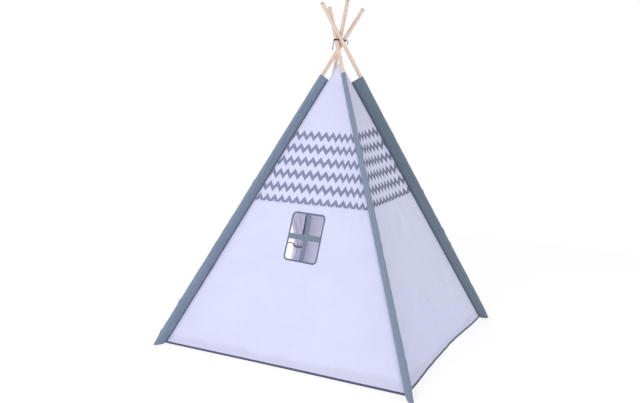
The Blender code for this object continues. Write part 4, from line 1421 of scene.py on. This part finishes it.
make_lashing()
for corner in ("back", "left"):
    make_tie_tail(corner)
    make_curtain(corner)
for wall, (_, low_corner, high_corner) in WALLS.items():
    for corner in (low_corner, high_corner):
        make_band(wall, corner)
        if wall != "door":
            make_panel(wall, corner)
for corner in CORNER_SIGNS:
    make_sleeve(corner)
    wood = make_wood(corner)
    for node, material in (
        (f"pole_{corner}_lower", wood),
        (f"pole_{corner}_upper", wood),
        (f"ferrule_{corner}", MATERIALS["steel"]),
    ):
        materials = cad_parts[node].data.materials
        materials.clear()
        materials.append(material)


# Floor, sky and lamps

FLOOR_RADIUS = 3.4
FLOOR_GLOW = 1.12
FLOOR_GLOW_SHARE = 0.62
SKY_LEVEL = 0.54
GLOW_PLACE = (-0.05, 0.05, 0.26)
GLOW_RADIUS = 0.16
GLOW_POWER = 2.4
GLOW_COLOUR = (1.0, 0.88, 0.66)
LAMP_SIZE = 3.0
LAMP_TARGET = (0, 0, 0.6)


def seen_directly(tree):
    """1 for camera, glossy and transmission rays, and 0 for all others."""
    rays = tree.nodes.new("ShaderNodeLightPath").outputs
    seen = rays["Is Camera Ray"]
    for kind in ("Is Glossy Ray", "Is Transmission Ray"):
        larger = tree.nodes.new("ShaderNodeMath")
        larger.operation = "MAXIMUM"
        tree.links.new(seen, larger.inputs[0])
        tree.links.new(rays[kind], larger.inputs[1])
        seen = larger.outputs[0]
    return seen


def make_floor():
    """A pale disc that looks white and still takes the teepee's shadow."""
    turns = np.linspace(0, math.tau, 96, endpoint=False)
    points = np.stack([np.cos(turns), np.sin(turns), 0 * turns], axis=-1) * FLOOR_RADIUS
    shader = Shader("floor", 0.9)
    shader.colour(paint(252, 252, 252))
    speck = shader.noise(shader.object_point(), 3.0)
    shader.rough(shader.span(speck, 0.2, 0.8, 0.85, 0.95))
    glow = shader.node("Emission", {"Color": (1, 1, 1, 1), "Strength": FLOOR_GLOW})
    share = shader.times(seen_directly(shader.tree), FLOOR_GLOW_SHARE)
    surfaces = {0: share, 1: shader.principled.outputs[0], 2: glow.outputs[0]}
    mixed = shader.node("MixShader", surfaces)
    shader.put(shader.tree.nodes["Material Output"].inputs["Surface"], mixed.outputs[0])
    face = tuple(range(len(points)))
    floor = new_mesh("floor", points, [face], points[:, :2], shader.material, smooth=False)


def make_sky():
    """White where it is seen, and dimmer as a light."""
    world = bpy.data.worlds.new("sky")
    SCENE.world = world
    world.use_nodes = True
    tree = world.node_tree
    background = tree.nodes["Background"]
    strength = tree.nodes.new("ShaderNodeMapRange")
    tree.links.new(seen_directly(tree), strength.inputs["Value"])
    strength.inputs["To Min"].default_value = SKY_LEVEL
    strength.inputs["To Max"].default_value = 1.0
    background.inputs["Color"].default_value = (1, 1, 1, 1)
    tree.links.new(strength.outputs[0], background.inputs["Strength"])


def make_light(name, kind, place, power):
    data = bpy.data.lights.new(name, kind)
    data.energy = power
    light = bpy.data.objects.new(name, data)
    SCENE.collection.objects.link(light)
    light.location = place
    return light


def make_lamp(name, place, power):
    lamp = make_light(name, "AREA", place, power)
    lamp.data.shape = "DISK"
    lamp.data.size = LAMP_SIZE
    lamp.rotation_euler = (Vector(LAMP_TARGET) - Vector(place)).to_track_quat("-Z", "Y").to_euler()


def make_glow():
    """A soft lamp inside the cover, for the daylight that thin cotton lets through."""
    glow = make_light("inside", "POINT", GLOW_PLACE, GLOW_POWER)
    glow.data.shadow_soft_size = GLOW_RADIUS
    glow.data.color = GLOW_COLOUR
    glow.visible_camera = False


make_floor()
make_sky()
make_glow()
make_lamp("key", (4.6, -0.4, 3.6), 119)
make_lamp("fill", (-1.0, 4.8, 3.0), 50)
make_lamp("rear", (-3.6, -3.6, 3.2), 50)
SCENE.view_settings.view_transform = "Standard"
